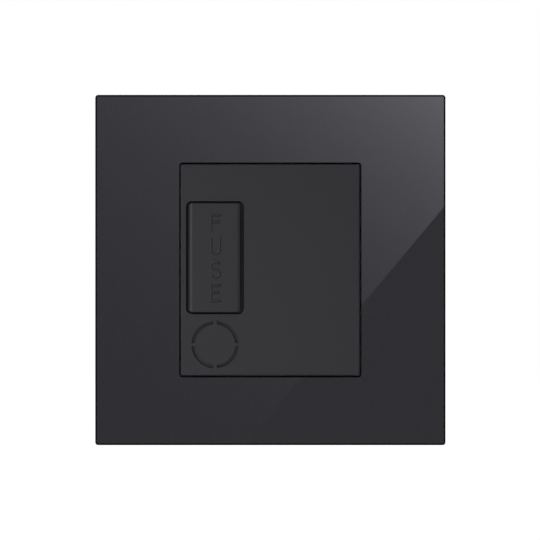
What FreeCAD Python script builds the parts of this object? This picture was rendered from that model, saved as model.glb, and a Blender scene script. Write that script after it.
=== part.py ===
"""Fused spur unit: a glass wall plate with a pull-out fuse carrier and a cord outlet.

Millimetres. The origin is the centre of the plate on the wall plane, +Z is up,
the front faces -Y and the body of the unit reaches into the wall box along +Y.
"""
import FreeCAD, Part
import os
import Sketcher

SIZES = {
    # Glass plate
    "plate_side": 95,  # side of the square glass plate
    "plate_projection": 9.6,  # front of the glass, out from the wall
    "glass_thickness": 4,  # toughened glass
    "plate_corner_radius": 0.8,  # ground corner of the glass
    "plate_arris": 0.5,  # ground arris round the front edge
    "window_arris": 0.15,  # ground arris round the window
    "window_gap": 0.35,  # gap between the glass and the insert
    # Cover frame behind the glass, and the tape between them
    "tape_thickness": 0.4,  # double-sided foam tape
    "tape_border": 4,  # from the glass edge to the tape
    "tape_window_border": 2.5,  # from the window to the tape
    "cover_inset": 0.8,  # from the glass edge to the cover frame
    "cover_corner_radius": 1.6,  # outer corner of the cover frame
    "cover_web": 1.6,  # web behind the glass
    "cover_wall": 1.6,  # wall round the cover frame
    "cover_wall_gap": 0.2,  # from the rim of the cover frame to the wall
    "collar_wall": 1.2,  # collar round the window
    "collar_gap": 0.4,  # from the collar to the yoke
    "cover_window_gap": 0.5,  # gap between the cover frame and the insert
    "rib_thickness": 1.2,  # stiffening ribs of the cover frame
    "rib_height": 0.9,  # stiffening ribs of the cover frame
    "rib_offset": 12,  # ribs, off the centre lines
    "rib_overlap": 0.5,  # how far a rib runs into the walls it joins
    "prise_width": 9,  # notch in the lower rim for a screwdriver
    "prise_depth": 1.8,  # notch in the lower rim
    # Support yoke and the tongues that grip it
    "yoke_inset": 5.5,  # from the edge of the glass to the edge of the yoke
    "yoke_thickness": 1.2,  # pressed steel yoke
    "yoke_corner": 2.5,  # cropped corners of the yoke
    "yoke_ledge_side": 1.85,  # how far the insert laps the yoke at its sides
    "yoke_ledge_end": 1.3,  # how far the insert laps the yoke at its top and bottom
    "yoke_window_corner": 0.8,  # corners of the window of the yoke
    "fixing_spacing": 60.3,  # centres of the wall box screws
    "fixing_radius": 2,  # half the width of a fixing slot
    "fixing_slot_length": 8,  # end to end of a fixing slot
    "tab_width": 11,  # upturned tab of the yoke
    "tab_height": 1.8,  # upturned tab, above the yoke
    "tab_offset": 24,  # tabs, above and below the centre
    "fold_length": 44,  # folded stiffening lip at the top and bottom of the yoke
    "fold_height": 1.2,  # stiffening lip, above the yoke
    "tongue_gap": 0.1,  # between a tongue and its tab
    "tongue_thickness": 1.4,  # spring tongue of the cover frame
    "tongue_width": 9,  # spring tongue of the cover frame
    "tongue_end_gap": 0.4,  # from the end of a tongue to the wall
    # Front insert
    "insert_width": 48.4,  # moulded front insert
    "insert_height": 57.3,  # moulded front insert
    "insert_proud": 0.3,  # front of the insert, out from the glass
    "insert_corner_radius": 0.6,  # corner of the insert
    "insert_edge": 0.25,  # bevelled front edge of the insert
    "insert_face": 2.2,  # face wall of the insert
    "insert_skirt": 1.9,  # side walls of the insert
    "sleeve_wall": 1.5,  # wall round the carrier opening
    "opening_width": 15.3,  # opening for the fuse carrier
    "opening_height": 30.2,  # opening for the fuse carrier
    "opening_corner_radius": 1.35,  # opening for the fuse carrier
    "opening_chamfer": 0.2,  # eased edge round the carrier opening
    "opening_margin": 1.55,  # from the left side of the insert to the carrier opening
    "opening_drop": 10.2,  # from the top of the insert to the carrier opening
    "lip_front": 3.3,  # from the face of the insert to the carrier's seat
    "lip_thickness": 1.5,  # inner lips that the carrier's stops meet
    "press_rib_width": 1.6,  # ribs that hold the metalwork down
    "press_rib_gap": 0.1,  # from a rib to the contact strips
    "press_rib_left": 3,  # rib, left of the centre of the live terminals
    "press_rib_right": 0.6,  # rib, short of the centre of the earth terminals
    # Cord outlet with its knock-out disc
    "outlet_inset": 9.24,  # centre of the cord outlet, from the left side of the insert
    "outlet_rise": 8.45,  # centre of the cord outlet, from the bottom of the insert
    "knockout_outer": 12.8,  # outer diameter of the knock-out ring
    "knockout_inner": 10.9,  # diameter of the knock-out disc
    "knockout_bridge": 1,  # bridges that hold the disc
    "knockout_depth": 1.4,  # depth of the ring groove
    "outlet_bore": 11.2,  # cord channel
    "outlet_wall": 1,  # square guide round the cord channel
    # Fuse and its carrier
    "fuse_length": 25.4,  # over the end caps
    "cap_diameter": 6.35,  # brass end caps
    "cap_length": 6,  # brass end caps
    "cap_wall": 0.3,  # brass end caps
    "fuse_body_gap": 0.05,  # ceramic tube inside its caps
    "fuse_depth": 2.1,  # axis of the fuse, behind the wall plane
    "carrier_proud": 1,  # front of the carrier, out from the insert
    "head_side_gap": 0.55,  # from the carrier's front to the opening, at its sides
    "head_end_gap": 0.45,  # from the carrier's front to the opening, at its ends
    "head_corner_radius": 1,  # corners of the carrier's front
    "head_side_radius": 1.1,  # rounded long edges of the carrier's front
    "head_depth": 2.5,  # from the carrier's front to its shoulder
    "head_wall": 2,  # front wall of the hollow carrier
    "head_end_wall": 2,  # solid ends of the carrier's front
    "shoulder_gap": 0.15,  # between the shoulder and the opening
    "shoulder_seat_gap": 0.1,  # between the shoulder and its seat
    "shoulder_corner_radius": 1.2,  # corners of the shoulder
    "rail_thickness": 1.4,  # side rails of the carrier
    "rail_inset": 1.4,  # from the side of the opening to the outside of a rail
    "rail_width": 10,  # side rails of the carrier
    "rail_gap": 0.15,  # between a rail and what guides it
    "carrier_travel": 16.5,  # how far the carrier pulls out
    "stop_gap": 0.3,  # left at the end of the carrier's travel
    "stop_width": 0.9,  # stop nib on a rail, outwards
    "stop_length": 1.5,  # stop nib, along the rail
    "cradle_rib": 1.6,  # cradle ribs that hold the fuse
    "cradle_offset": 3.4,  # cradle ribs, above and below the fuse's middle
    "cradle_grip": 1.2,  # how far the cradle reaches past the fuse's axis
    "cradle_gap": 0.05,  # between the cradle and the fuse
    # Spring contacts and strips
    "contact_gap": 0.05,  # between a contact and the cap
    "strip_thickness": 0.8,  # brass strip
    "contact_width": 5.2,  # width of a contact and its strip
    "contact_offset": 9.8,  # contacts, from the middle of the fuse
    "jaw_reach": 2.4,  # straight jaw past the fuse's axis
    "jaw_flare": 0.8,  # outward flare of a jaw
    "jaw_flare_length": 1.5,  # flared end of a jaw
    "strip_inset": 0.6,  # from the end of a strip to the edge of its terminal
    "strip_gap": 0.15,  # between a strip and its channel
    "neutral_strip_width": 3,  # strip between the neutral terminals
    "earth_tab_width": 5,  # strip between the yoke and an earth terminal
    "earth_tab_reach": 2.6,  # how far the earth strip lies on the yoke
    # Terminals
    "terminal_width": 6.4,  # terminal block
    "terminal_height": 9,  # terminal block, along the wire
    "terminal_depth": 11.3,  # terminal block, along its screw
    "terminal_edge": 0.4,  # broken edges of a terminal block
    "terminal_inset": 3.6,  # centre of the earth terminals, from the side of the insert
    "terminal_pitch": 7.9,  # from one terminal to the next
    "terminal_drop": 5.3,  # centre of the terminals, from the end of the insert
    "terminal_gap": 0.15,  # between a terminal and its pocket
    "wire_bore": 4,  # wire bore of a terminal
    "wire_bore_depth": 3.95,  # from the front of a terminal to its wire bore's axis
    "wire_entry": 5.2,  # side of the square wire holes of the housing
    "access_hole": 6,  # side of the square screwdriver holes of the housing
    "terminal_thread": 3.5,  # terminal screw
    "terminal_screw_proud": 1.7,  # how far a backed-out screw stands out of its block
    "thread_gap": 0.05,  # between a screw and its thread
    "screw_clear": 0.3,  # from a backed-out screw to the wire bore
    "slot_width": 0.9,  # screwdriver slot
    "slot_depth": 0.9,  # screwdriver slot
    # Rear housing
    "housing_side_lap": 0.9,  # how far the housing reaches past the sides of the insert
    "housing_end_lap": 1,  # how far the housing reaches past the ends of the insert
    "housing_corner": 1.5,  # bevelled corners of the rear housing
    "housing_edge": 0.8,  # bevelled rear edge of the housing
    "housing_wall": 1.8,  # side walls of the housing
    "housing_back": 2.6,  # rear wall of the housing
    "bay_right": 9.8,  # right side of the fuse bay, from the fuse
    "bay_above": 14.5,  # top of the fuse bay, from the middle of the fuse
    "bay_below": 14.1,  # bottom of the fuse bay, from the middle of the fuse
    "core_left": 4.6,  # rear hollow, left of the centre of the live terminals
    "core_right": 1.5,  # rear hollow, right of the centre of the neutral terminals
    "core_end": 8.7,  # rear hollow, short of the centre of the terminals
    "core_floor": 2,  # material left in front of the rear hollow
    "core_rib": 1.6,  # rib across the rear hollow
    "side_core_left": 1,  # hollow behind the fuse bay, from the fuse
    "side_core_right": 8.6,  # hollow behind the fuse bay, from the fuse
    "side_core_low": 7.9,  # hollow behind the fuse bay, above the middle of the fuse
    "side_core_high": 2.6,  # hollow behind the fuse bay, from the top of the insert
    # Assembly screws through the housing into the insert
    "screw_side_inset": 5.4,  # screws at the left and right, from the sides of the insert
    "screw_mid_offset": 7.1,  # screw beside the live terminals, from their centre
    "screw_end_inset": 5,  # screws at the top and bottom, from the ends of the insert
    "boss_diameter": 5.6,  # bosses of the insert
    "screw_diameter": 2.8,  # assembly screw
    "screw_hole": 3.3,  # screw hole of the housing
    "screw_head": 5.4,  # head of an assembly screw
    "screw_head_depth": 2,  # head of an assembly screw
    "screw_bite": 6,  # how far a screw reaches into its boss
    "screw_end_gap": 0.3,  # left at the end of a boss's hole
    # Cord clamp on the rear of the housing
    "clamp_rise": 11.6,  # from the cord outlet up to the clamp bar
    "clamp_width": 17,  # clamp bar
    "clamp_height": 6.4,  # clamp bar, along the cord
    "clamp_thickness": 2.6,  # clamp bar
    "clamp_corner": 1.2,  # bevelled corners of the clamp bar
    "clamp_rib_height": 1.2,  # rib that bites the cord
    "clamp_rib_thickness": 1.6,  # rib that bites the cord
    "clamp_rib_gap": 0.5,  # between the rib and the sides of the trough
    "trough_wall": 0.8,  # wall between the cord trough and the clamp screws
    "trough_depth": 6.1,  # cord trough
    "trough_rise": 17.6,  # from the cord outlet up to the end of the cord trough
    "clamp_screw_inset": 2.2,  # clamp screws, from the end of the bar
    "clamp_screw": 2.6,  # clamp screw
    "clamp_screw_head": 4.6,  # head of a clamp screw
    "clamp_screw_head_depth": 1.7,  # head of a clamp screw
    "clamp_screw_length": 8,  # clamp screw under its head
}

doc = FreeCAD.newDocument("FusedSpurUnit")
sheet = doc.addObject("Spreadsheet::Sheet", "Sizes")
for row, (alias, value) in enumerate(SIZES.items(), 1):
    sheet.set(f"A{row}", alias)
    sheet.set(f"B{row}", str(value))
    sheet.setAlias(f"B{row}", alias)
doc.recompute()


# Places that follow from the sizes
HALF_WIDTH = "(Sizes.insert_width / 2)"
HALF_HEIGHT = "(Sizes.insert_height / 2)"
YOKE_SIDE = "(Sizes.plate_side - 2 * Sizes.yoke_inset)"
YOKE_WINDOW_WIDTH = "(Sizes.insert_width - 2 * Sizes.yoke_ledge_side)"
YOKE_WINDOW_HEIGHT = "(Sizes.insert_height - 2 * Sizes.yoke_ledge_end)"
HOUSING_WIDTH = "(Sizes.insert_width + 2 * Sizes.housing_side_lap)"
HOUSING_HEIGHT = "(Sizes.insert_height + 2 * Sizes.housing_end_lap)"
CARRIER_X = f"(Sizes.opening_margin + Sizes.opening_width / 2 - {HALF_WIDTH})"
CARRIER_Z = f"({HALF_HEIGHT} - Sizes.opening_drop - Sizes.opening_height / 2)"
OUTLET_X = f"(Sizes.outlet_inset - {HALF_WIDTH})"
OUTLET_Z = f"(Sizes.outlet_rise - {HALF_HEIGHT})"
HEAD_WIDTH = "(Sizes.opening_width - 2 * Sizes.head_side_gap)"
HEAD_HEIGHT = "(Sizes.opening_height - 2 * Sizes.head_end_gap)"
HEAD_CORE_HEIGHT = f"({HEAD_HEIGHT} - 2 * Sizes.head_end_wall)"
RAIL_OUTER = "(Sizes.opening_width / 2 - Sizes.rail_inset)"
EARTH_X = f"({HALF_WIDTH} - Sizes.terminal_inset)"
NEUTRAL_X = f"({EARTH_X} - Sizes.terminal_pitch)"
LIVE_X = f"({NEUTRAL_X} - Sizes.terminal_pitch)"
TERMINALS_X = (LIVE_X, NEUTRAL_X, EARTH_X)
TERMINAL_Z = f"({HALF_HEIGHT} - Sizes.terminal_drop)"
PRESS_RIB_START = f"({LIVE_X} - Sizes.press_rib_left)"
PRESS_RIB_END = f"({EARTH_X} - Sizes.press_rib_right)"
SCREW_SIDE_X = f"({HALF_WIDTH} - Sizes.screw_side_inset)"
SCREW_MID_X = f"({LIVE_X} - Sizes.screw_mid_offset)"
SCREW_Z = f"({HALF_HEIGHT} - Sizes.screw_end_inset)"
CLAMP_Z = f"({OUTLET_Z} + Sizes.clamp_rise)"
CLAMP_OFFSET = "(Sizes.clamp_width / 2 - Sizes.clamp_screw_inset)"
TROUGH_WIDTH = f"(2 * ({CLAMP_OFFSET} - Sizes.clamp_screw / 2 - Sizes.trough_wall))"
CLAMP_SCREWS = (f"(-{CLAMP_OFFSET})", CLAMP_OFFSET)
ASSEMBLY_SCREWS = (
    (f"(-{SCREW_SIDE_X})", SCREW_Z),
    (SCREW_SIDE_X, "0"),
    (SCREW_MID_X, f"(-{SCREW_Z})"),
)

# Depths that follow from the sizes. Each one is the y of a face.
GLASS_FRONT = "(-Sizes.plate_projection)"
GLASS_BACK = f"({GLASS_FRONT} + Sizes.glass_thickness)"
COVER_FRONT = f"({GLASS_BACK} + Sizes.tape_thickness)"
COVER_INNER = f"({COVER_FRONT} + Sizes.cover_web)"
COVER_RIM = "(-Sizes.cover_wall_gap)"
YOKE_FRONT = "(-Sizes.yoke_thickness)"
YOKE_BACK = "0"
INSERT_FRONT = f"({GLASS_FRONT} - Sizes.insert_proud)"
INSERT_INNER = f"({INSERT_FRONT} + Sizes.insert_face)"
LIP_FRONT = f"({INSERT_FRONT} + Sizes.lip_front)"
LIP_BACK = f"({LIP_FRONT} + Sizes.lip_thickness)"
HEAD_FRONT = f"({INSERT_FRONT} - Sizes.carrier_proud)"
HEAD_BACK = f"({HEAD_FRONT} + Sizes.head_depth)"
HEAD_INNER = f"({HEAD_FRONT} + Sizes.head_wall)"
SHOULDER_BACK = f"({LIP_FRONT} - Sizes.shoulder_seat_gap)"
STOP_FRONT = f"({LIP_BACK} + Sizes.carrier_travel + Sizes.stop_gap)"
RAIL_END = f"({STOP_FRONT} + Sizes.stop_length)"
CAP_RADIUS = "(Sizes.cap_diameter / 2)"
JAW_RADIUS = f"({CAP_RADIUS} + Sizes.contact_gap)"
METAL_FRONT = f"(Sizes.fuse_depth + {JAW_RADIUS} + Sizes.strip_thickness)"
STRIP_FRONT = f"({METAL_FRONT} - Sizes.strip_thickness)"
METAL_BACK = f"({METAL_FRONT} + Sizes.terminal_depth)"
HOUSING_BACK = f"({METAL_BACK} + Sizes.housing_back)"
WIRE_Y = f"({METAL_FRONT} + Sizes.wire_bore_depth)"
TROUGH_FLOOR = f"({HOUSING_BACK} - Sizes.trough_depth)"
CLAMP_BACK = f"({HOUSING_BACK} + Sizes.clamp_thickness)"

FUSE_BODY_RADIUS = f"({CAP_RADIUS} - Sizes.cap_wall - Sizes.fuse_body_gap)"
CONTACT_UP = f"({CARRIER_Z} + Sizes.contact_offset)"
CONTACT_DOWN = f"({CARRIER_Z} - Sizes.contact_offset)"
HALF_CONTACT = "(Sizes.contact_width / 2)"


def number(expression):
    """Return the present value of an expression over the sheet."""
    return float(sheet.evalExpression(expression))


def role(body, name):
    """Return the plane or axis of a body's own origin that has this role."""
    return [item for item in body.Origin.OriginFeatures if item.Role == name][0]


def new_body(label):
    """Add a body for one sub-part."""
    body = doc.addObject("PartDesign::Body", label)
    body.Label = label
    return body


def sketch_on(body, name, plane, depth, x="0", z="0"):
    """Add a sketch parallel to an origin plane, at a depth along the third axis.

    The sketch's own origin is moved by x and z in its plane. The normal of
    XZ_Plane is -Y, so there the depth is counted the other way.
    """
    sketch = body.newObject("Sketcher::SketchObject", name)
    sketch.AttachmentSupport = [(role(body, plane), "")]
    sketch.MapMode = "FlatFace"
    sign = "-" if plane == "XZ_Plane" else ""
    sketch.setExpression(".AttachmentOffset.Base.x", x)
    sketch.setExpression(".AttachmentOffset.Base.y", z)
    sketch.setExpression(".AttachmentOffset.Base.z", f"{sign}({depth})")
    return sketch


def hold_point(sketch, line, end, x, z):
    """Hold one end of a line at x and z from the sketch's origin."""
    for kind, expression in (("DistanceX", x), ("DistanceY", z)):
        held = sketch.addConstraint(
            Sketcher.Constraint(kind, -1, 1, line, end, number(expression))
        )
        sketch.setExpression(f"Constraints[{held}]", expression)


def polygon(sketch, points):
    """Draw a closed outline through points given as pairs of expressions."""
    first = sketch.GeometryCount
    places = [FreeCAD.Vector(number(x), number(z), 0) for x, z in points]
    count = len(places)
    for index in range(count):
        sketch.addGeometry(Part.LineSegment(places[index], places[(index + 1) % count]), False)
    for index in range(count):
        following = first + (index + 1) % count
        sketch.addConstraint(Sketcher.Constraint("Coincident", first + index, 2, following, 1))
    for index, (x, z) in enumerate(points):
        hold_point(sketch, first + index, 1, x, z)


def rectangle(sketch, left, right, low, high):
    """Draw a rectangle between four expressions."""
    polygon(sketch, ((left, low), (right, low), (right, high), (left, high)))


def centred(sketch, x, z, width, height):
    """Draw a rectangle about a centre."""
    rectangle(
        sketch,
        f"({x}) - ({width}) / 2",
        f"({x}) + ({width}) / 2",
        f"({z}) - ({height}) / 2",
        f"({z}) + ({height}) / 2",
    )


def circle(sketch, x, z, diameter):
    """Draw a circle about a centre."""
    centre = FreeCAD.Vector(number(x), number(z), 0)
    shape = Part.Circle(centre, FreeCAD.Vector(0, 0, 1), number(f"({diameter}) / 2"))
    index = sketch.addGeometry(shape, False)
    hold_point(sketch, index, 3, x, z)
    held = sketch.addConstraint(Sketcher.Constraint("Diameter", index, number(diameter)))
    sketch.setExpression(f"Constraints[{held}]", diameter)


def rounded(sketch, x, z, width, height, radius):
    """Draw a rectangle with round corners about a centre."""
    right, top, r = number(f"({width}) / 2"), number(f"({height}) / 2"), number(radius)
    middle = FreeCAD.Vector(number(x), number(z), 0)
    up = FreeCAD.Vector(0, 0, 1)
    quarter = 1.5707963267948966
    arcs, lines = [], []
    for turn, (side_x, side_z) in enumerate(((1, 1), (-1, 1), (-1, -1), (1, -1))):
        centre = middle + FreeCAD.Vector(side_x * (right - r), side_z * (top - r), 0)
        bend = Part.ArcOfCircle(Part.Circle(centre, up, r), turn * quarter, (turn + 1) * quarter)
        arcs.append(sketch.addGeometry(bend, False))
        hold_point(
            sketch, arcs[-1], 3,
            f"({x}) + {side_x} * (({width}) / 2 - ({radius}))",
            f"({z}) + {side_z} * (({height}) / 2 - ({radius}))",
        )
    for arc, following in zip(arcs, arcs[1:] + arcs[:1]):
        ends = sketch.getPoint(arc, 2), sketch.getPoint(following, 1)
        lines.append(sketch.addGeometry(Part.LineSegment(*ends), False))
        sketch.addConstraint(Sketcher.Constraint("Tangent", arc, 2, lines[-1], 1))
        sketch.addConstraint(Sketcher.Constraint("Tangent", lines[-1], 2, following, 1))
    for arc in arcs[1:]:
        sketch.addConstraint(Sketcher.Constraint("Equal", arcs[0], arc))
    held = sketch.addConstraint(Sketcher.Constraint("Radius", arcs[0], r))
    sketch.setExpression(f"Constraints[{held}]", radius)


def slot(sketch, x, z, length, radius):
    """Draw a slot along the sketch's x, with round ends."""
    half = f"(({length}) / 2 - ({radius}))"
    middle_x, middle_z = number(x), number(z)
    run, r = number(half), number(radius)
    quarter = 1.5707963267948966
    up = FreeCAD.Vector(0, 0, 1)
    left = FreeCAD.Vector(middle_x - run, middle_z, 0)
    right = FreeCAD.Vector(middle_x + run, middle_z, 0)
    lift = FreeCAD.Vector(0, r, 0)
    arc_left = sketch.addGeometry(
        Part.ArcOfCircle(Part.Circle(left, up, r), quarter, 3 * quarter), False
    )
    arc_right = sketch.addGeometry(
        Part.ArcOfCircle(Part.Circle(right, up, r), -quarter, quarter), False
    )
    low = sketch.addGeometry(Part.LineSegment(left - lift, right - lift), False)
    high = sketch.addGeometry(Part.LineSegment(right + lift, left + lift), False)
    for one, end, other, start in (
        (arc_left, 2, low, 1),
        (low, 2, arc_right, 1),
        (arc_right, 2, high, 1),
        (high, 2, arc_left, 1),
    ):
        sketch.addConstraint(Sketcher.Constraint("Tangent", one, end, other, start))
    sketch.addConstraint(Sketcher.Constraint("Equal", arc_left, arc_right))
    held = sketch.addConstraint(Sketcher.Constraint("Radius", arc_left, r))
    sketch.setExpression(f"Constraints[{held}]", radius)
    hold_point(sketch, arc_left, 3, f"({x}) - {half}", z)
    hold_point(sketch, arc_right, 3, f"({x}) + {half}", z)


def add(body, kind, name, sketch, length):
    """Pad or pocket a sketch by a length."""
    feature = body.newObject(f"PartDesign::{kind}", name)
    feature.Profile = sketch
    feature.setExpression("Length", length)
    return feature


def pad(body, name, front, back, draw):
    """Pad what draw() draws, from the depth back towards the depth front."""
    sketch = sketch_on(body, f"{name}_sketch", "XZ_Plane", back)
    draw(sketch)
    return add(body, "Pad", name, sketch, f"({back}) - ({front})")


def cut(body, name, front, back, draw, at=("0", "0")):
    """Cut what draw() draws out of the body, from the depth front to the depth back.

    The volume must fall, because a cut that misses the body leaves no trace.
    """
    doc.recompute()
    before = body.Shape.Volume
    sketch = sketch_on(body, f"{name}_sketch", "XZ_Plane", front, *at)
    draw(sketch)
    feature = add(body, "Pocket", name, sketch, f"({back}) - ({front})")
    doc.recompute()
    if not body.Shape.Volume < before:
        raise RuntimeError(f"{name} removes nothing")
    return feature


def bore_up(body, name, low, high, draw):
    """Cut what draw() draws out of the body along Z, from high down to low."""
    doc.recompute()
    before = body.Shape.Volume
    sketch = sketch_on(body, f"{name}_sketch", "XY_Plane", high)
    draw(sketch)
    feature = add(body, "Pocket", name, sketch, f"({high}) - ({low})")
    doc.recompute()
    if not body.Shape.Volume < before:
        raise RuntimeError(f"{name} removes nothing")
    return feature


def mirror(body, name, originals, plane):
    """Repeat features on the other side of an origin plane."""
    feature = body.newObject("PartDesign::Mirrored", name)
    feature.Originals = originals
    feature.MirrorPlane = (role(body, plane), [""])
    body.Tip = feature
    doc.recompute()
    return feature


def settle(feature):
    """Recompute, and stop if this feature failed."""
    doc.recompute()
    if "Invalid" in feature.State or "Error" in feature.State:
        raise RuntimeError(f"{feature.Label} failed: {feature.getStatusString()}")


def edges_at(body, test):
    """Name the edges of a body's present shape whose box passes a test."""
    doc.recompute()
    names = []
    for index, edge in enumerate(body.Shape.Edges, 1):
        if test(edge.BoundBox):
            names.append(f"Edge{index}")
    if not names:
        raise RuntimeError(f"{body.Label} has no such edge")
    return names


def ease(body, kind, name, amount, test):
    """Fillet or chamfer the edges that pass a test."""
    names = edges_at(body, test)
    base = body.Tip
    feature = body.newObject(f"PartDesign::{kind}", name)
    feature.Base = (base, names)
    feature.setExpression("Radius" if kind == "Fillet" else "Size", amount)
    body.Tip = feature
    settle(feature)
    return feature


def near(value, expression):
    """Is a value equal to an expression, to a hundredth of a millimetre?"""
    return abs(value - number(expression)) < 0.01


def corner_test(x, z, half_width, half_height):
    """Make a test for the four edges along Y at the corners of a rectangle."""

    def test(box):
        across = max(box.XLength, box.ZLength) < 0.01 < box.YLength
        corner = near(abs(box.Center.x - number(x)), half_width)
        return across and corner and near(abs(box.Center.z - number(z)), half_height)

    return test


def rim_test(depth, x, z, half_width, half_height):
    """Make a test for the edges in a plane y = depth that lie on a rectangle's sides."""

    def test(box):
        if box.YLength > 0.01 or not near(box.Center.y, depth):
            return False
        reach_x = max(abs(box.XMin - number(x)), abs(box.XMax - number(x)))
        reach_z = max(abs(box.ZMin - number(z)), abs(box.ZMax - number(z)))
        inside_x = reach_x < number(half_width) + 0.01
        inside_z = reach_z < number(half_height) + 0.01
        on_side = near(reach_x, half_width) or near(reach_z, half_height)
        return inside_x and inside_z and on_side

    return test


# Windows that the cover, the tape and the glass share
GLASS_WINDOW = (
    "(Sizes.insert_width + 2 * Sizes.window_gap)",
    "(Sizes.insert_height + 2 * Sizes.window_gap)",
)
COVER_WINDOW = (
    "(Sizes.insert_width + 2 * Sizes.cover_window_gap)",
    "(Sizes.insert_height + 2 * Sizes.cover_window_gap)",
)


def glass_plate():
    """Toughened glass, ground on its edges, with a window for the insert."""
    body = new_body("glass_plate")
    side = "Sizes.plate_side"
    half = "Sizes.plate_side / 2"
    pad(body, "plate", GLASS_FRONT, GLASS_BACK, lambda s: centred(s, "0", "0", side, side))
    ease(body, "Fillet", "corners", "Sizes.plate_corner_radius", corner_test("0", "0", half, half))
    ease(
        body, "Chamfer", "arris", "Sizes.plate_arris",
        rim_test(GLASS_FRONT, "0", "0", half, half),
    )
    cut(
        body, "window", GLASS_FRONT, GLASS_BACK,
        lambda s: centred(s, "0", "0", *GLASS_WINDOW),
    )
    half_window = (f"{GLASS_WINDOW[0]} / 2", f"{GLASS_WINDOW[1]} / 2")
    ease(
        body, "Fillet", "window_corners", "Sizes.plate_corner_radius",
        corner_test("0", "0", *half_window),
    )
    ease(
        body, "Chamfer", "window_edge", "Sizes.window_arris",
        rim_test(GLASS_FRONT, "0", "0", *half_window),
    )
    return body


def bonding_tape():
    """Die-cut foam tape that bonds the glass to the cover frame."""
    body = new_body("bonding_tape")
    side = "(Sizes.plate_side - 2 * Sizes.tape_border)"
    inner = [f"({length} + 2 * Sizes.tape_window_border)" for length in GLASS_WINDOW]

    def ring(sketch):
        centred(sketch, "0", "0", side, side)
        centred(sketch, "0", "0", *inner)

    pad(body, "ring", GLASS_BACK, COVER_FRONT, ring)
    return body


def cover_frame():
    """Moulded tray that carries the glass and grips the yoke with four tongues."""
    body = new_body("cover_frame")
    side = "(Sizes.plate_side - 2 * Sizes.cover_inset)"
    inner = f"({side} - 2 * Sizes.cover_wall)"
    half = f"{side} / 2"
    pad(body, "tray", COVER_FRONT, COVER_RIM, lambda s: centred(s, "0", "0", side, side))
    ease(body, "Fillet", "corners", "Sizes.cover_corner_radius", corner_test("0", "0", half, half))
    cut(body, "hollow", COVER_INNER, COVER_RIM, lambda s: centred(s, "0", "0", inner, inner))
    collar = [f"({length} + 2 * Sizes.collar_wall)" for length in COVER_WINDOW]
    pad(
        body, "collar", COVER_INNER, f"{YOKE_FRONT} - Sizes.collar_gap",
        lambda s: centred(s, "0", "0", *collar),
    )
    rib_back = f"{COVER_INNER} + Sizes.rib_height"
    side_start = f"{collar[0]} / 2 - Sizes.rib_overlap"
    top_start = f"{collar[1]} / 2 - Sizes.rib_overlap"
    end = f"{inner} / 2 + Sizes.rib_overlap"

    def side_ribs(sketch):
        for sign in ("-", ""):
            middle = f"({sign}Sizes.rib_offset)"
            rectangle(
                sketch, side_start, end,
                f"{middle} - Sizes.rib_thickness / 2", f"{middle} + Sizes.rib_thickness / 2",
            )

    def top_ribs(sketch):
        for sign in ("-", ""):
            middle = f"({sign}Sizes.rib_offset)"
            rectangle(
                sketch,
                f"{middle} - Sizes.rib_thickness / 2", f"{middle} + Sizes.rib_thickness / 2",
                top_start, end,
            )

    right = pad(body, "side_ribs", COVER_INNER, rib_back, side_ribs)
    mirror(body, "left_ribs", [right], "YZ_Plane")
    upper = pad(body, "top_ribs", COVER_INNER, rib_back, top_ribs)
    mirror(body, "lower_ribs", [upper], "XY_Plane")

    tongue_start = f"{YOKE_SIDE} / 2 + Sizes.tongue_gap"

    def tongues(sketch):
        for sign in ("-", ""):
            middle = f"({sign}Sizes.tab_offset)"
            rectangle(
                sketch, tongue_start, f"{tongue_start} + Sizes.tongue_thickness",
                f"{middle} - Sizes.tongue_width / 2", f"{middle} + Sizes.tongue_width / 2",
            )

    right = pad(body, "tongues", COVER_INNER, "-Sizes.tongue_end_gap", tongues)
    mirror(body, "left_tongues", [right], "YZ_Plane")
    cut(
        body, "window", COVER_FRONT, YOKE_FRONT,
        lambda s: centred(s, "0", "0", *COVER_WINDOW),
    )
    cut(
        body, "prise_notch", f"{COVER_RIM} - Sizes.prise_depth", COVER_RIM,
        lambda s: centred(s, "0", f"-({side} / 2)", "Sizes.prise_width", "3 * Sizes.cover_wall"),
    )
    return body


def support_yoke():
    """Pressed steel yoke that is screwed to the wall box."""
    body = new_body("support_yoke")
    side = YOKE_SIDE
    half = f"{side} / 2"
    pad(body, "plate", YOKE_FRONT, YOKE_BACK, lambda s: centred(s, "0", "0", side, side))
    ease(body, "Chamfer", "corners", "Sizes.yoke_corner", corner_test("0", "0", half, half))
    window = (YOKE_WINDOW_WIDTH, YOKE_WINDOW_HEIGHT)
    cut(body, "window", YOKE_FRONT, YOKE_BACK, lambda s: centred(s, "0", "0", *window))
    ease(
        body, "Chamfer", "window_corners", "Sizes.yoke_window_corner",
        corner_test("0", "0", f"{window[0]} / 2", f"{window[1]} / 2"),
    )

    def fixing_slots(sketch):
        for sign in ("-", ""):
            slot(
                sketch, f"({sign}Sizes.fixing_spacing / 2)", "0",
                "Sizes.fixing_slot_length", "Sizes.fixing_radius",
            )

    cut(body, "fixing_slots", YOKE_FRONT, YOKE_BACK, fixing_slots)

    def tabs(sketch):
        for sign in ("-", ""):
            middle = f"({sign}Sizes.tab_offset)"
            rectangle(
                sketch, f"{half} - Sizes.yoke_thickness", half,
                f"{middle} - Sizes.tab_width / 2", f"{middle} + Sizes.tab_width / 2",
            )

    def fold(sketch):
        rectangle(
            sketch, "-Sizes.fold_length / 2", "Sizes.fold_length / 2",
            f"{half} - Sizes.yoke_thickness", half,
        )

    right = pad(body, "tabs", f"{YOKE_FRONT} - Sizes.tab_height", YOKE_FRONT, tabs)
    mirror(body, "left_tabs", [right], "YZ_Plane")
    upper = pad(body, "fold", f"{YOKE_FRONT} - Sizes.fold_height", YOKE_FRONT, fold)
    mirror(body, "lower_fold", [upper], "XY_Plane")
    return body


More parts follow.
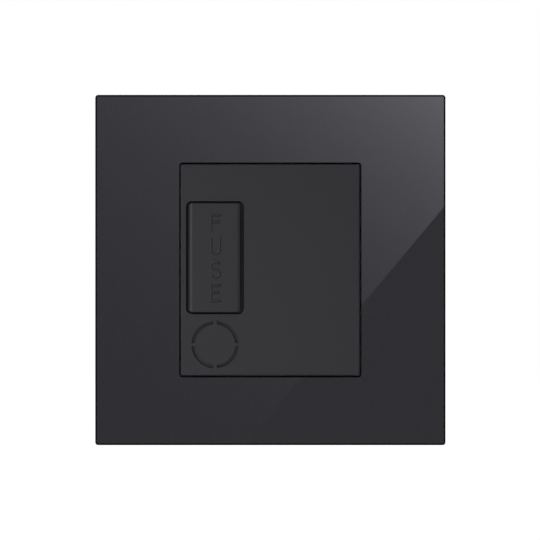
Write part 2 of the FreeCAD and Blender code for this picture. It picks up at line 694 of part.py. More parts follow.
def front_insert():
    """Moulded front of the working part, with the carrier opening and the cord outlet."""
    body = new_body("front_insert")
    width, height = "Sizes.insert_width", "Sizes.insert_height"
    opening = ("Sizes.opening_width", "Sizes.opening_height")
    centre = (CARRIER_X, CARRIER_Z)
    outlet = (OUTLET_X, OUTLET_Z)
    halves = (f"{width} / 2", f"{height} / 2")
    pad(body, "block", INSERT_FRONT, YOKE_FRONT, lambda s: centred(s, "0", "0", width, height))
    ease(body, "Fillet", "corners", "Sizes.insert_corner_radius", corner_test("0", "0", *halves))
    ease(
        body, "Chamfer", "front_edge", "Sizes.insert_edge",
        rim_test(INSERT_FRONT, "0", "0", *halves),
    )
    cut(
        body, "hollow", INSERT_INNER, YOKE_FRONT,
        lambda s: centred(
            s, "0", "0", f"{width} - 2 * Sizes.insert_skirt", f"{height} - 2 * Sizes.insert_skirt"
        ),
    )
    pad(
        body, "sleeve", INSERT_INNER, YOKE_FRONT,
        lambda s: centred(
            s, *centre, f"{opening[0]} + 2 * Sizes.sleeve_wall",
            f"{opening[1]} + 2 * Sizes.sleeve_wall",
        ),
    )
    guide = "(Sizes.outlet_bore + 2 * Sizes.outlet_wall)"
    pad(body, "outlet_guide", INSERT_INNER, YOKE_BACK, lambda s: centred(s, *outlet, guide, guide))

    def bosses(sketch):
        for x, z in ASSEMBLY_SCREWS:
            circle(sketch, x, z, "Sizes.boss_diameter")

    pad(body, "bosses", INSERT_INNER, YOKE_BACK, bosses)
    upper = pad(
        body, "press_rib", INSERT_INNER, f"{STRIP_FRONT} - Sizes.press_rib_gap",
        lambda s: rectangle(
            s, PRESS_RIB_START, PRESS_RIB_END,
            f"{TERMINAL_Z} - Sizes.press_rib_width / 2",
            f"{TERMINAL_Z} + Sizes.press_rib_width / 2",
        ),
    )
    mirror(body, "lower_press_rib", [upper], "XY_Plane")
    cut(
        body, "outlet", INSERT_INNER, YOKE_BACK,
        lambda s: circle(s, *outlet, "Sizes.outlet_bore"),
    )
    cut(body, "opening", INSERT_FRONT, LIP_FRONT, lambda s: centred(s, *centre, *opening))
    half_opening = (f"{opening[0]} / 2", f"{opening[1]} / 2")
    ease(
        body, "Fillet", "opening_corners", "Sizes.opening_corner_radius",
        corner_test(*centre, *half_opening),
    )
    ease(
        body, "Chamfer", "opening_edge", "Sizes.opening_chamfer",
        rim_test(INSERT_FRONT, *centre, *half_opening),
    )
    between_lips = f"(2 * ({RAIL_OUTER} + Sizes.rail_gap))"
    cut(
        body, "lip_gap", LIP_FRONT, LIP_BACK,
        lambda s: centred(s, *centre, between_lips, f"{opening[1]} - 2 * Sizes.sleeve_wall"),
    )
    cut(body, "sleeve_bore", LIP_BACK, YOKE_FRONT, lambda s: centred(s, *centre, *opening))

    def pilot_holes(sketch):
        for x, z in ASSEMBLY_SCREWS:
            circle(sketch, x, z, "Sizes.screw_diameter + 2 * Sizes.thread_gap")

    cut(
        body, "pilot_holes", f"{YOKE_BACK} - Sizes.screw_bite - Sizes.screw_end_gap", YOKE_BACK,
        pilot_holes,
    )

    def ring_quarter(sketch):
        """One quarter of the ring groove, between two bridges."""
        outer, inner = "Sizes.knockout_outer / 2", "Sizes.knockout_inner / 2"
        half_bridge = "Sizes.knockout_bridge / 2"
        big, small, bridge = number(outer), number(inner), number(half_bridge)
        far = (big**2 - bridge**2) ** 0.5
        close = (small**2 - bridge**2) ** 0.5
        up = FreeCAD.Vector(0, 0, 1)
        middle = FreeCAD.Vector(0, 0, 0)
        corners = [(bridge, close), (bridge, far), (far, bridge), (close, bridge)]
        a, b, c, d = [FreeCAD.Vector(x, z, 0) for x, z in corners]
        quarter = 1.5707963267948966
        turn = (bridge / big, bridge / small)
        rise = sketch.addGeometry(Part.LineSegment(a, b), False)
        flat = sketch.addGeometry(Part.LineSegment(c, d), False)
        arc_out = sketch.addGeometry(
            Part.ArcOfCircle(Part.Circle(middle, up, big), turn[0], quarter - turn[0]), False
        )
        arc_in = sketch.addGeometry(
            Part.ArcOfCircle(Part.Circle(middle, up, small), turn[1], quarter - turn[1]), False
        )
        for one, end, other, start in (
            (rise, 2, arc_out, 2),
            (arc_out, 1, flat, 1),
            (flat, 2, arc_in, 1),
            (arc_in, 2, rise, 1),
        ):
            sketch.addConstraint(Sketcher.Constraint("Coincident", one, end, other, start))
        sketch.addConstraint(Sketcher.Constraint("Vertical", rise))
        sketch.addConstraint(Sketcher.Constraint("Horizontal", flat))
        for arc, radius, value in ((arc_out, outer, big), (arc_in, inner, small)):
            sketch.addConstraint(Sketcher.Constraint("Coincident", arc, 3, -1, 1))
            held = sketch.addConstraint(Sketcher.Constraint("Radius", arc, value))
            sketch.setExpression(f"Constraints[{held}]", radius)
        for kind, line in (("DistanceX", rise), ("DistanceY", flat)):
            held = sketch.addConstraint(Sketcher.Constraint(kind, -1, 1, line, 1, bridge))
            sketch.setExpression(f"Constraints[{held}]", half_bridge)

    quarter = cut(
        body, "knockout_quarter", INSERT_FRONT, f"{INSERT_FRONT} + Sizes.knockout_depth",
        ring_quarter, outlet,
    )
    ring = body.newObject("PartDesign::PolarPattern", "knockout_ring")
    ring.Originals = [quarter]
    ring.Axis = (quarter.Profile[0], ["N_Axis"])
    ring.Angle = 360
    ring.Occurrences = 4
    body.Tip = ring
    doc.recompute()
    return body


def rear_housing():
    """Moulded rear housing: fuse bay, terminal pockets, cord channel and cord trough."""
    body = new_body("rear_housing")
    width, height = HOUSING_WIDTH, HOUSING_HEIGHT
    halves = (f"{width} / 2", f"{height} / 2")
    pad(body, "block", YOKE_BACK, HOUSING_BACK, lambda s: centred(s, "0", "0", width, height))
    ease(body, "Chamfer", "corners", "Sizes.housing_corner", corner_test("0", "0", *halves))
    ease(
        body, "Chamfer", "rear_edge", "Sizes.housing_edge",
        rim_test(HOUSING_BACK, "0", "0", *halves),
    )
    cut(
        body, "fuse_bay", YOKE_BACK, METAL_FRONT,
        lambda s: rectangle(
            s, f"-{halves[0]} + Sizes.housing_wall", f"{CARRIER_X} + Sizes.bay_right",
            f"{CARRIER_Z} - Sizes.bay_below", f"{CARRIER_Z} + Sizes.bay_above",
        ),
    )

    def rail_slots(sketch):
        inner = f"{RAIL_OUTER} - Sizes.rail_thickness - Sizes.rail_gap"
        outer = f"{RAIL_OUTER} + Sizes.stop_width + Sizes.rail_gap"
        low = f"{CARRIER_Z} - Sizes.rail_width / 2 - Sizes.rail_gap"
        high = f"{CARRIER_Z} + Sizes.rail_width / 2 + Sizes.rail_gap"
        rectangle(sketch, f"{CARRIER_X} + {inner}", f"{CARRIER_X} + {outer}", low, high)
        rectangle(sketch, f"{CARRIER_X} - ({outer})", f"{CARRIER_X} - ({inner})", low, high)

    cut(body, "rail_slots", METAL_FRONT, f"{RAIL_END} + Sizes.stop_gap", rail_slots)

    def pocket_side(x, sign):
        return f"({x} {sign} (Sizes.terminal_width / 2 + Sizes.terminal_gap))"

    pocket_low = f"({TERMINAL_Z} - Sizes.terminal_height / 2 - Sizes.terminal_gap)"
    pocket_high = f"({halves[1]} - Sizes.housing_wall)"

    def terminal_pockets(sketch):
        for x in TERMINALS_X:
            rectangle(sketch, pocket_side(x, "-"), pocket_side(x, "+"), pocket_low, pocket_high)

    upper = cut(body, "terminal_pockets", YOKE_BACK, METAL_BACK, terminal_pockets)
    mirror(body, "lower_terminal_pockets", [upper], "XY_Plane")

    channel = f"({HALF_CONTACT} + Sizes.strip_gap)"
    live_left, live_right = pocket_side(LIVE_X, "-"), pocket_side(LIVE_X, "+")
    cut(
        body, "supply_strip_channel", YOKE_BACK, METAL_FRONT,
        lambda s: polygon(s, (
            (CARRIER_X, f"{CONTACT_UP} - {channel}"),
            (live_right, f"{CONTACT_UP} - {channel}"),
            (live_right, f"{pocket_low} + Sizes.rib_overlap"),
            (live_left, f"{pocket_low} + Sizes.rib_overlap"),
            (live_left, f"{CONTACT_UP} + {channel}"),
            (CARRIER_X, f"{CONTACT_UP} + {channel}"),
        )),
    )
    cut(
        body, "load_strip_channel", YOKE_BACK, METAL_FRONT,
        lambda s: polygon(s, (
            (CARRIER_X, f"{CONTACT_DOWN} + {channel}"),
            (live_right, f"{CONTACT_DOWN} + {channel}"),
            (live_right, f"-{pocket_low} - Sizes.rib_overlap"),
            (live_left, f"-{pocket_low} - Sizes.rib_overlap"),
            (live_left, f"{CONTACT_DOWN} - {channel}"),
            (CARRIER_X, f"{CONTACT_DOWN} - {channel}"),
        )),
    )
    cut(
        body, "neutral_strip_channel", YOKE_BACK, METAL_FRONT,
        lambda s: centred(
            s, NEUTRAL_X, "0", "Sizes.neutral_strip_width + 2 * Sizes.strip_gap",
            f"2 * ({pocket_low} + Sizes.rib_overlap)",
        ),
    )
    upper = cut(
        body, "earth_recess", YOKE_BACK, "Sizes.strip_thickness",
        lambda s: rectangle(
            s, f"{YOKE_WINDOW_WIDTH} / 2 - Sizes.strip_thickness - Sizes.strip_gap",
            f"{YOKE_WINDOW_WIDTH} / 2 + Sizes.earth_tab_reach + Sizes.strip_gap",
            f"{TERMINAL_Z} - Sizes.earth_tab_width / 2 - Sizes.strip_gap",
            f"{TERMINAL_Z} + Sizes.earth_tab_width / 2 + Sizes.strip_gap",
        ),
    )
    mirror(body, "lower_earth_recess", [upper], "XY_Plane")
    cut(
        body, "cord_channel", YOKE_BACK, HOUSING_BACK,
        lambda s: circle(s, OUTLET_X, OUTLET_Z, "Sizes.outlet_bore"),
    )
    cut(
        body, "cord_trough", TROUGH_FLOOR, HOUSING_BACK,
        lambda s: rectangle(
            s, f"{OUTLET_X} - {TROUGH_WIDTH} / 2", f"{OUTLET_X} + {TROUGH_WIDTH} / 2",
            OUTLET_Z, f"{OUTLET_Z} + Sizes.trough_rise",
        ),
    )

    def access_holes(sketch):
        for x in TERMINALS_X:
            centred(sketch, x, TERMINAL_Z, "Sizes.access_hole", "Sizes.access_hole")

    upper = cut(body, "access_holes", METAL_BACK, HOUSING_BACK, access_holes)
    mirror(body, "lower_access_holes", [upper], "XY_Plane")

    def screw_holes(sketch):
        for x, z in ASSEMBLY_SCREWS:
            circle(sketch, x, z, "Sizes.screw_hole")

    cut(body, "screw_holes", YOKE_BACK, HOUSING_BACK, screw_holes)

    def clamp_pilots(sketch):
        for x in CLAMP_SCREWS:
            circle(
                sketch, f"{OUTLET_X} + ({x})", CLAMP_Z,
                "Sizes.clamp_screw + 2 * Sizes.thread_gap",
            )

    pilot_floor = f"{CLAMP_BACK} - Sizes.clamp_screw_length - Sizes.screw_end_gap"
    cut(body, "clamp_pilots", pilot_floor, HOUSING_BACK, clamp_pilots)

    def rear_hollow(sketch):
        floor_rib = "Sizes.core_rib / 2"
        core_end = f"({TERMINAL_Z} - Sizes.core_end)"
        for low, high in (
            (f"({floor_rib})", core_end),
            (f"(-{core_end})", f"(-{floor_rib})"),
        ):
            rectangle(
                sketch, f"{LIVE_X} - Sizes.core_left", f"{NEUTRAL_X} + Sizes.core_right", low, high
            )
        rectangle(
            sketch, f"{CARRIER_X} + Sizes.side_core_left", f"{CARRIER_X} + Sizes.side_core_right",
            f"{CARRIER_Z} + Sizes.side_core_low", f"{HALF_HEIGHT} - Sizes.side_core_high",
        )

    cut(body, "rear_hollow", f"{METAL_FRONT} + Sizes.core_floor", HOUSING_BACK, rear_hollow)

    upper = cut(
        body, "press_rib_slot", YOKE_BACK, STRIP_FRONT,
        lambda s: rectangle(
            s, f"{PRESS_RIB_START} - Sizes.strip_gap", f"{PRESS_RIB_END} + Sizes.strip_gap",
            f"{TERMINAL_Z} - Sizes.press_rib_width / 2 - Sizes.strip_gap",
            f"{TERMINAL_Z} + Sizes.press_rib_width / 2 + Sizes.strip_gap",
        ),
    )
    mirror(body, "lower_press_rib_slot", [upper], "XY_Plane")

    def wire_entries(sketch):
        for x in TERMINALS_X:
            centred(sketch, x, WIRE_Y, "Sizes.wire_entry", "Sizes.wire_entry")

    upper = bore_up(
        body, "wire_entries", f"{pocket_high} - Sizes.rib_overlap", halves[1], wire_entries
    )
    mirror(body, "lower_wire_entries", [upper], "XY_Plane")
    return body


def fuse_carrier():
    """Moulded drawer that holds the fuse in a cradle between two rails."""
    body = new_body("fuse_carrier")
    centre = (CARRIER_X, CARRIER_Z)
    head = (HEAD_WIDTH, HEAD_HEIGHT)
    shoulder = [f"({name} - 2 * Sizes.shoulder_gap)" for name in (
        "Sizes.opening_width", "Sizes.opening_height"
    )]
    halves = (f"{head[0]} / 2", f"{head[1]} / 2")
    pad(body, "head", HEAD_FRONT, HEAD_BACK, lambda s: centred(s, *centre, *head))

    def long_edge(box):
        side = near(abs(box.Center.x - number(centre[0])), halves[0])
        return side and near(box.YMax, HEAD_FRONT) and box.ZLength > number(halves[1])

    def corner_waste(sketch):
        centred(sketch, *centre, f"2 * {head[0]}", f"2 * {head[1]}")
        rounded(sketch, *centre, *head, "Sizes.head_corner_radius")

    ease(body, "Fillet", "head_sides", "Sizes.head_side_radius", long_edge)
    cut(body, "head_corners", HEAD_FRONT, HEAD_BACK, corner_waste)
    pad(body, "shoulder", HEAD_BACK, SHOULDER_BACK, lambda s: centred(s, *centre, *shoulder))
    ease(
        body, "Fillet", "shoulder_corners", "Sizes.shoulder_corner_radius",
        corner_test(*centre, f"{shoulder[0]} / 2", f"{shoulder[1]} / 2"),
    )
    rail_inner = f"({RAIL_OUTER} - Sizes.rail_thickness)"
    cut(
        body, "head_hollow", HEAD_INNER, SHOULDER_BACK,
        lambda s: centred(s, *centre, f"2 * {rail_inner}", HEAD_CORE_HEIGHT),
    )

    def rails(sketch):
        low = f"{CARRIER_Z} - Sizes.rail_width / 2"
        high = f"{CARRIER_Z} + Sizes.rail_width / 2"
        outer = RAIL_OUTER
        rectangle(sketch, f"{CARRIER_X} + {rail_inner}", f"{CARRIER_X} + {outer}", low, high)
        rectangle(sketch, f"{CARRIER_X} - {outer}", f"{CARRIER_X} - {rail_inner}", low, high)

    pad(body, "rails", HEAD_INNER, RAIL_END, rails)

    def stops(sketch):
        low = f"{CARRIER_Z} - Sizes.rail_width / 4"
        high = f"{CARRIER_Z} + Sizes.rail_width / 4"
        tip = f"({RAIL_OUTER} + Sizes.stop_width)"
        rectangle(
            sketch, f"{CARRIER_X} + {rail_inner}", f"{CARRIER_X} + {tip}", low, high
        )
        rectangle(
            sketch, f"{CARRIER_X} - {tip}", f"{CARRIER_X} - {rail_inner}", low, high
        )

    pad(body, "stops", STOP_FRONT, RAIL_END, stops)

    def cradle(sketch):
        for sign in ("-", "+"):
            middle = f"({CARRIER_Z} {sign} Sizes.cradle_offset)"
            centred(
                sketch, CARRIER_X, middle, f"2 * {rail_inner}", "Sizes.cradle_rib"
            )

    pad(body, "cradle", HEAD_INNER, "Sizes.fuse_depth + Sizes.cradle_grip", cradle)
    bore_up(
        body, "fuse_seat", f"{CARRIER_Z} - Sizes.rail_width / 2",
        f"{CARRIER_Z} + Sizes.rail_width / 2",
        lambda s: circle(
            s, CARRIER_X, "Sizes.fuse_depth",
            f"2 * ({FUSE_BODY_RADIUS} + Sizes.cradle_gap)",
        ),
    )
    return body


def fuse_body():
    """Ceramic tube of the cartridge fuse, closed by its filling."""
    body = new_body("fuse_body")
    half = "(Sizes.fuse_length / 2 - Sizes.cap_wall - Sizes.fuse_body_gap)"
    sketch = sketch_on(body, "tube_section", "XY_Plane", f"{CARRIER_Z} - {half}")
    circle(sketch, CARRIER_X, "Sizes.fuse_depth", f"2 * {FUSE_BODY_RADIUS}")
    add(body, "Pad", "tube", sketch, f"2 * {half}")
    return body


def fuse_end_caps():
    """Two drawn brass caps, turned profiles about the fuse's axis."""
    body = new_body("fuse_end_caps")
    end = "(Sizes.fuse_length / 2)"
    mouth = f"({end} - Sizes.cap_length)"
    bore = f"({CAP_RADIUS} - Sizes.cap_wall)"
    sketch = sketch_on(
        body, "cap_section", "YZ_Plane", CARRIER_X, "Sizes.fuse_depth", CARRIER_Z
    )
    polygon(sketch, (
        ("0", end),
        ("0", f"{end} - Sizes.cap_wall"),
        (bore, f"{end} - Sizes.cap_wall"),
        (bore, mouth),
        (CAP_RADIUS, mouth),
        (CAP_RADIUS, end),
    ))
    cap = body.newObject("PartDesign::Revolution", "cap")
    cap.Profile = sketch
    cap.ReferenceAxis = (sketch, ["V_Axis"])
    cap.Angle = 360
    doc.recompute()
    pair = body.newObject("PartDesign::Mirrored", "cap_pair")
    pair.Originals = [cap]
    pair.MirrorPlane = (sketch, ["H_Axis"])
    body.Tip = pair
    doc.recompute()
    return body


def spring_contact(label, middle, terminal_side):
    """Pressed brass contact: a U that grips a fuse cap, and a strip to its terminal."""
    body = new_body(label)
    x, y = CARRIER_X, "Sizes.fuse_depth"
    inner = JAW_RADIUS
    outer = f"({JAW_RADIUS} + Sizes.strip_thickness)"
    reach = "(-Sizes.jaw_reach)"
    tip = "(-Sizes.jaw_reach - Sizes.jaw_flare_length)"

    def jaws(sketch):
        """A closed U with flared mouths, about the fuse's axis."""
        flare = "Sizes.jaw_flare"
        right = [
            (inner, "0"), (inner, reach), (f"{inner} + {flare}", tip),
            (f"{outer} + {flare}", tip), (outer, reach), (outer, "0"),
        ]
        left = [(f"-({px})", pz) for px, pz in right]
        half_turn = 3.141592653589793
        up = FreeCAD.Vector(0, 0, 1)
        middle_point = FreeCAD.Vector(0, 0, 0)
        chains = []
        for points in (right, left):
            lines = []
            for first, second in zip(points, points[1:]):
                ends = [FreeCAD.Vector(number(px), number(pz), 0) for px, pz in (first, second)]
                lines.append(sketch.addGeometry(Part.LineSegment(*ends), False))
            for before, after in zip(lines, lines[1:]):
                sketch.addConstraint(Sketcher.Constraint("Coincident", before, 2, after, 1))
            for line, (px, pz) in zip(lines, points):
                hold_point(sketch, line, 1, px, pz)
            hold_point(sketch, lines[-1], 2, *points[-1])
            chains.append(lines)
        for radius, index, end in ((inner, 0, 1), (outer, -1, 2)):
            arc = sketch.addGeometry(
                Part.ArcOfCircle(Part.Circle(middle_point, up, number(radius)), 0, half_turn), False
            )
            sketch.addConstraint(Sketcher.Constraint("Coincident", arc, 1, chains[0][index], end))
            sketch.addConstraint(Sketcher.Constraint("Coincident", arc, 2, chains[1][index], end))
            sketch.addConstraint(Sketcher.Constraint("PointOnObject", arc, 3, -1))

    sketch = sketch_on(body, "jaw_section", "XY_Plane", f"{middle} - {HALF_CONTACT}", x, y)
    jaws(sketch)
    add(body, "Pad", "jaws", sketch, "Sizes.contact_width")
    end_x = f"({LIVE_X} + Sizes.terminal_width / 2)"
    tab_x = f"({LIVE_X} - Sizes.terminal_width / 2)"
    far = f"({terminal_side}({TERMINAL_Z} + Sizes.terminal_height / 2 - Sizes.strip_inset))"
    near_edge = f"({middle} - ({terminal_side}{HALF_CONTACT}))"
    far_edge = f"({middle} + ({terminal_side}{HALF_CONTACT}))"
    pad(
        body, "strip", STRIP_FRONT, METAL_FRONT,
        lambda s: polygon(s, (
            (x, near_edge), (end_x, near_edge), (end_x, far),
            (tab_x, far), (tab_x, far_edge), (x, far_edge),
        )),
    )
    return body


def terminal(label, x, z_sign):
    """Brass terminal block with a wire bore along Z and a screw hole from the rear."""
    body = new_body(label)
    middle = f"({z_sign}{TERMINAL_Z})"
    half_height = "Sizes.terminal_height / 2"
    pad(
        body, "block", METAL_FRONT, METAL_BACK,
        lambda s: centred(s, x, middle, "Sizes.terminal_width", "Sizes.terminal_height"),
    )
    ease(
        body, "Chamfer", "edges", "Sizes.terminal_edge",
        corner_test(x, middle, "Sizes.terminal_width / 2", half_height),
    )
    bore_up(
        body, "wire_hole", f"{middle} - {half_height}", f"{middle} + {half_height}",
        lambda s: circle(s, x, WIRE_Y, "Sizes.wire_bore"),
    )
    cut(
        body, "screw_hole", WIRE_Y, METAL_BACK,
        lambda s: circle(s, x, middle, "Sizes.terminal_thread + 2 * Sizes.thread_gap"),
    )
    return body


def neutral_link():
    """Brass strip that joins the two neutral terminals."""
    body = new_body("neutral_link")
    length = f"2 * ({TERMINAL_Z} + Sizes.terminal_height / 2 - Sizes.strip_inset)"
    pad(
        body, "strip", STRIP_FRONT, METAL_FRONT,
        lambda s: centred(s, NEUTRAL_X, "0", "Sizes.neutral_strip_width", length),
    )
    return body


def earth_straps():
    """Two bent brass strips, from the back of the yoke to the earth terminals."""
    body = new_body("earth_straps")
    edge = f"({YOKE_WINDOW_WIDTH} / 2 - Sizes.strip_thickness)"
    outer = f"({YOKE_WINDOW_WIDTH} / 2)"
    foot = f"({EARTH_X} - Sizes.terminal_width / 2 + Sizes.strip_inset)"
    low = f"{TERMINAL_Z} - Sizes.earth_tab_width / 2"
    sketch = sketch_on(body, "strap_section", "XY_Plane", low)
    polygon(sketch, (
        (f"{outer} + Sizes.earth_tab_reach", "0"),
        (f"{outer} + Sizes.earth_tab_reach", "Sizes.strip_thickness"),
        (outer, "Sizes.strip_thickness"),
        (outer, METAL_FRONT),
        (foot, METAL_FRONT),
        (foot, STRIP_FRONT),
        (edge, STRIP_FRONT),
        (edge, "0"),
    ))
    upper = add(body, "Pad", "strap", sketch, "Sizes.earth_tab_width")
    mirror(body, "strap_pair", [upper], "XY_Plane")
    return body


def screw(name, head, head_depth, thread, length):
    """Turned screw: the underside of its head at the origin, its shank along -Y."""
    body = new_body(name)
    sketch = sketch_on(body, f"{name}_section", "XY_Plane", "0")
    polygon(sketch, (
        ("0", head_depth),
        ("0", f"-({length})"),
        (f"({thread}) / 2", f"-({length})"),
        (f"({thread}) / 2", "0"),
        (f"({head}) / 2", "0"),
        (f"({head}) / 2", head_depth),
    ))
    turned = body.newObject("PartDesign::Revolution", f"{name}_turned")
    turned.Profile = sketch
    turned.ReferenceAxis = (sketch, ["V_Axis"])
    turned.Angle = 360
    doc.recompute()
    cut(
        body, f"{name}_slot", f"({head_depth}) - Sizes.slot_depth", head_depth,
        lambda s: centred(s, "0", "0", f"2 * ({head})", "Sizes.slot_width"),
    )
    return body


def group(label, master, places):
    """Put copies of one fastener at places, as separate solids of one node."""
    links = []
    for index, (x, y, z) in enumerate(places, 1):
        link = doc.addObject("App::Link", f"{label}_{index}")
        link.LinkedObject = master
        link.setExpression("Placement.Base.x", x)
        link.setExpression("Placement.Base.y", y)
        link.setExpression("Placement.Base.z", z)
        links.append(link)
    compound = doc.addObject("Part::Compound", label)
    compound.Label = label
    compound.Links = links
    return compound


def terminal_screws():
    """Six headless slotted screws, backed out clear of the wire bores."""
    master = new_body("terminal_screw")
    back = f"({METAL_BACK} + Sizes.terminal_screw_proud)"
    tip = f"({WIRE_Y} + Sizes.wire_bore / 2 + Sizes.screw_clear)"
    pad(
        master, "shank", f"{tip} - {back}", "0",
        lambda s: circle(s, "0", "0", "Sizes.terminal_thread"),
    )
    cut(
        master, "slot", "-Sizes.slot_depth", "0",
        lambda s: centred(s, "0", "0", "2 * Sizes.terminal_thread", "Sizes.slot_width"),
    )
    places = [(x, back, f"({sign}{TERMINAL_Z})") for sign in ("", "-") for x in TERMINALS_X]
    return group("terminal_screws", master, places)


def assembly_screws():
    """Three screws that draw the housing and the insert together on the yoke."""
    master = screw(
        "assembly_screw", "Sizes.screw_head", "Sizes.screw_head_depth",
        "Sizes.screw_diameter", f"{HOUSING_BACK} + Sizes.screw_bite",
    )
    places = [(x, HOUSING_BACK, z) for x, z in ASSEMBLY_SCREWS]
    return group("assembly_screws", master, places)


def cord_clamp_bar():
    """Moulded bar with a rib that bites the cord in its trough."""
    body = new_body("cord_clamp_bar")
    centre = (OUTLET_X, CLAMP_Z)
    pad(
        body, "bar", HOUSING_BACK, CLAMP_BACK,
        lambda s: centred(s, *centre, "Sizes.clamp_width", "Sizes.clamp_height"),
    )
    ease(
        body, "Chamfer", "bar_corners", "Sizes.clamp_corner",
        corner_test(*centre, "Sizes.clamp_width / 2", "Sizes.clamp_height / 2"),
    )
    pad(
        body, "bite_rib", f"{HOUSING_BACK} - Sizes.clamp_rib_height", HOUSING_BACK,
        lambda s: centred(
            s, *centre, f"{TROUGH_WIDTH} - 2 * Sizes.clamp_rib_gap", "Sizes.clamp_rib_thickness"
        ),
    )

    def holes(sketch):
        for x in CLAMP_SCREWS:
            circle(
                sketch, f"{OUTLET_X} + ({x})", CLAMP_Z,
                "Sizes.clamp_screw + 2 * Sizes.thread_gap",
            )

    cut(body, "bar_holes", HOUSING_BACK, CLAMP_BACK, holes)
    return body


def cord_clamp_screws():
    """Two slotted screws through the clamp bar."""
    master = screw(
        "clamp_screw", "Sizes.clamp_screw_head", "Sizes.clamp_screw_head_depth",
        "Sizes.clamp_screw", "Sizes.clamp_screw_length",
    )
    places = [(f"{OUTLET_X} + ({x})", CLAMP_BACK, CLAMP_Z) for x in CLAMP_SCREWS]
    return group("cord_clamp_screws", master, places)


def check(objects):
    """Stop if an object failed, or if a sub-part's shape is empty or not valid."""
    for item in doc.Objects:
        if "Invalid" in item.State or "Error" in item.State:
            raise RuntimeError(f"{item.Name} failed: {item.State}")
    for item in objects:
        if item.Shape.isNull() or not item.Shape.isValid() or item.Shape.Volume <= 0:
            raise RuntimeError(f"{item.Label} has no sound shape")


def main():
    """Build every sub-part, check it and write it to its own file."""
    parts = [
        glass_plate(),
        bonding_tape(),
        cover_frame(),
        support_yoke(),
        front_insert(),
        rear_housing(),
        fuse_carrier(),
        fuse_body(),
        fuse_end_caps(),
        spring_contact("supply_fuse_contact", CONTACT_UP, ""),
        spring_contact("load_fuse_contact", CONTACT_DOWN, "-"),
        terminal("live_supply_terminal", LIVE_X, ""),
        terminal("neutral_supply_terminal", NEUTRAL_X, ""),
        terminal("earth_supply_terminal", EARTH_X, ""),
        terminal("live_load_terminal", LIVE_X, "-"),
        terminal("neutral_load_terminal", NEUTRAL_X, "-"),
        terminal("earth_load_terminal", EARTH_X, "-"),
        neutral_link(),
        earth_straps(),
        terminal_screws(),
        assembly_screws(),
        cord_clamp_bar(),
        cord_clamp_screws(),
    ]
    doc.recompute()
    check(parts)
    os.makedirs("parts", exist_ok=True)
    for item in parts:
        item.Shape.exportStep(os.path.join("parts", f"{item.Label}.step"))
        print(f"{item.Label}: {len(item.Shape.Solids)} solids, {item.Shape.Volume:.1f} mm3")


main()
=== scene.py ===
"""Fused spur unit: finishes, moulded lettering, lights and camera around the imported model.

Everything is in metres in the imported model's own frame: the plate faces -Y, +Z is up.
"""

import logging
import math
from dataclasses import dataclass
from enum import Enum
from typing import Any

import bmesh
import bpy
from mathutils import Matrix, Vector


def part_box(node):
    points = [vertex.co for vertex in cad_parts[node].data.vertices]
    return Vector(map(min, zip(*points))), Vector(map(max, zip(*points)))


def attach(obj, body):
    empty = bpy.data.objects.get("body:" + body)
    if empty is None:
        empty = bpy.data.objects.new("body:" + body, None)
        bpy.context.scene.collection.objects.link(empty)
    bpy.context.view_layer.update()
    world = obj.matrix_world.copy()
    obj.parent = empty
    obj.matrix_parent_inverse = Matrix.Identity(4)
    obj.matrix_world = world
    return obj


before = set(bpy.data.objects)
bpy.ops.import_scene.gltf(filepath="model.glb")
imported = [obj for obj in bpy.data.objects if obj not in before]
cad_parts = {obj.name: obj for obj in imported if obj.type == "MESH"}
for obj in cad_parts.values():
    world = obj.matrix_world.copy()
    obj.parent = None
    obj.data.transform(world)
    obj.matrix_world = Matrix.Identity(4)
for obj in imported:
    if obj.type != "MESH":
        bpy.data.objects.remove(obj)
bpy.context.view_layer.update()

MM = 0.001
WHITE = "#FFFFFF"
# The Mix node's sockets go by number, because their names repeat for each type of data.
FACTOR = 0
NUMBER_A, NUMBER_B, NUMBER_OUT = 2, 3, 0
COLOUR_A, COLOUR_B, COLOUR_OUT = 6, 7, 2

log = logging.getLogger("fused_spur_unit")


def linear(colour: str) -> tuple[float, float, float, float]:
    """Turn an sRGB hex colour into linear RGBA.

    Args:
        colour: Six hex digits after a hash sign.

    Returns:
        The linear red, green and blue, and full alpha.
    """
    shares = [int(colour[at:at + 2], 16) / 255 for at in (1, 3, 5)]
    # The sRGB curve: a straight foot, then a power.
    values = [s / 12.92 if s <= 0.04045 else ((s + 0.055) / 1.055) ** 2.4 for s in shares]
    return (values[0], values[1], values[2], 1.0)


def add_node(
    tree: bpy.types.NodeTree, kind: str, inputs: dict[str | int, Any] | None = None, **settings: Any
) -> bpy.types.Node:
    """Add a node with its settings and links.

    Args:
        tree: The node tree that gets the node.
        kind: The node's type.
        inputs: For each input, a value, or the socket that feeds it.
        settings: The node's own properties.

    Returns:
        The new node.
    """
    made = tree.nodes.new(kind)
    for name, value in settings.items():
        setattr(made, name, value)
    for name, value in (inputs or {}).items():
        if isinstance(value, bpy.types.NodeSocket):
            tree.links.new(value, made.inputs[name])
        else:
            made.inputs[name].default_value = value
    return made


def empty_material(name: str) -> bpy.types.Material:
    """Make a material with nothing in its node tree.

    Args:
        name: The material's name.

    Returns:
        The new material.
    """
    made = bpy.data.materials.new(name)
    made.use_nodes = True
    made.node_tree.nodes.clear()
    return made


def add_piece(name: str, mesh: bmesh.types.BMesh) -> bpy.types.Object:
    """Put a finished mesh into the scene.

    Args:
        name: The new object's name.
        mesh: Its mesh, with its place in it. It is freed.

    Returns:
        The new object, at the origin and unturned.
    """
    data = bpy.data.meshes.new(name)
    mesh.to_mesh(data)
    mesh.free()
    piece = bpy.data.objects.new(name, data)
    bpy.context.scene.collection.objects.link(piece)
    return piece


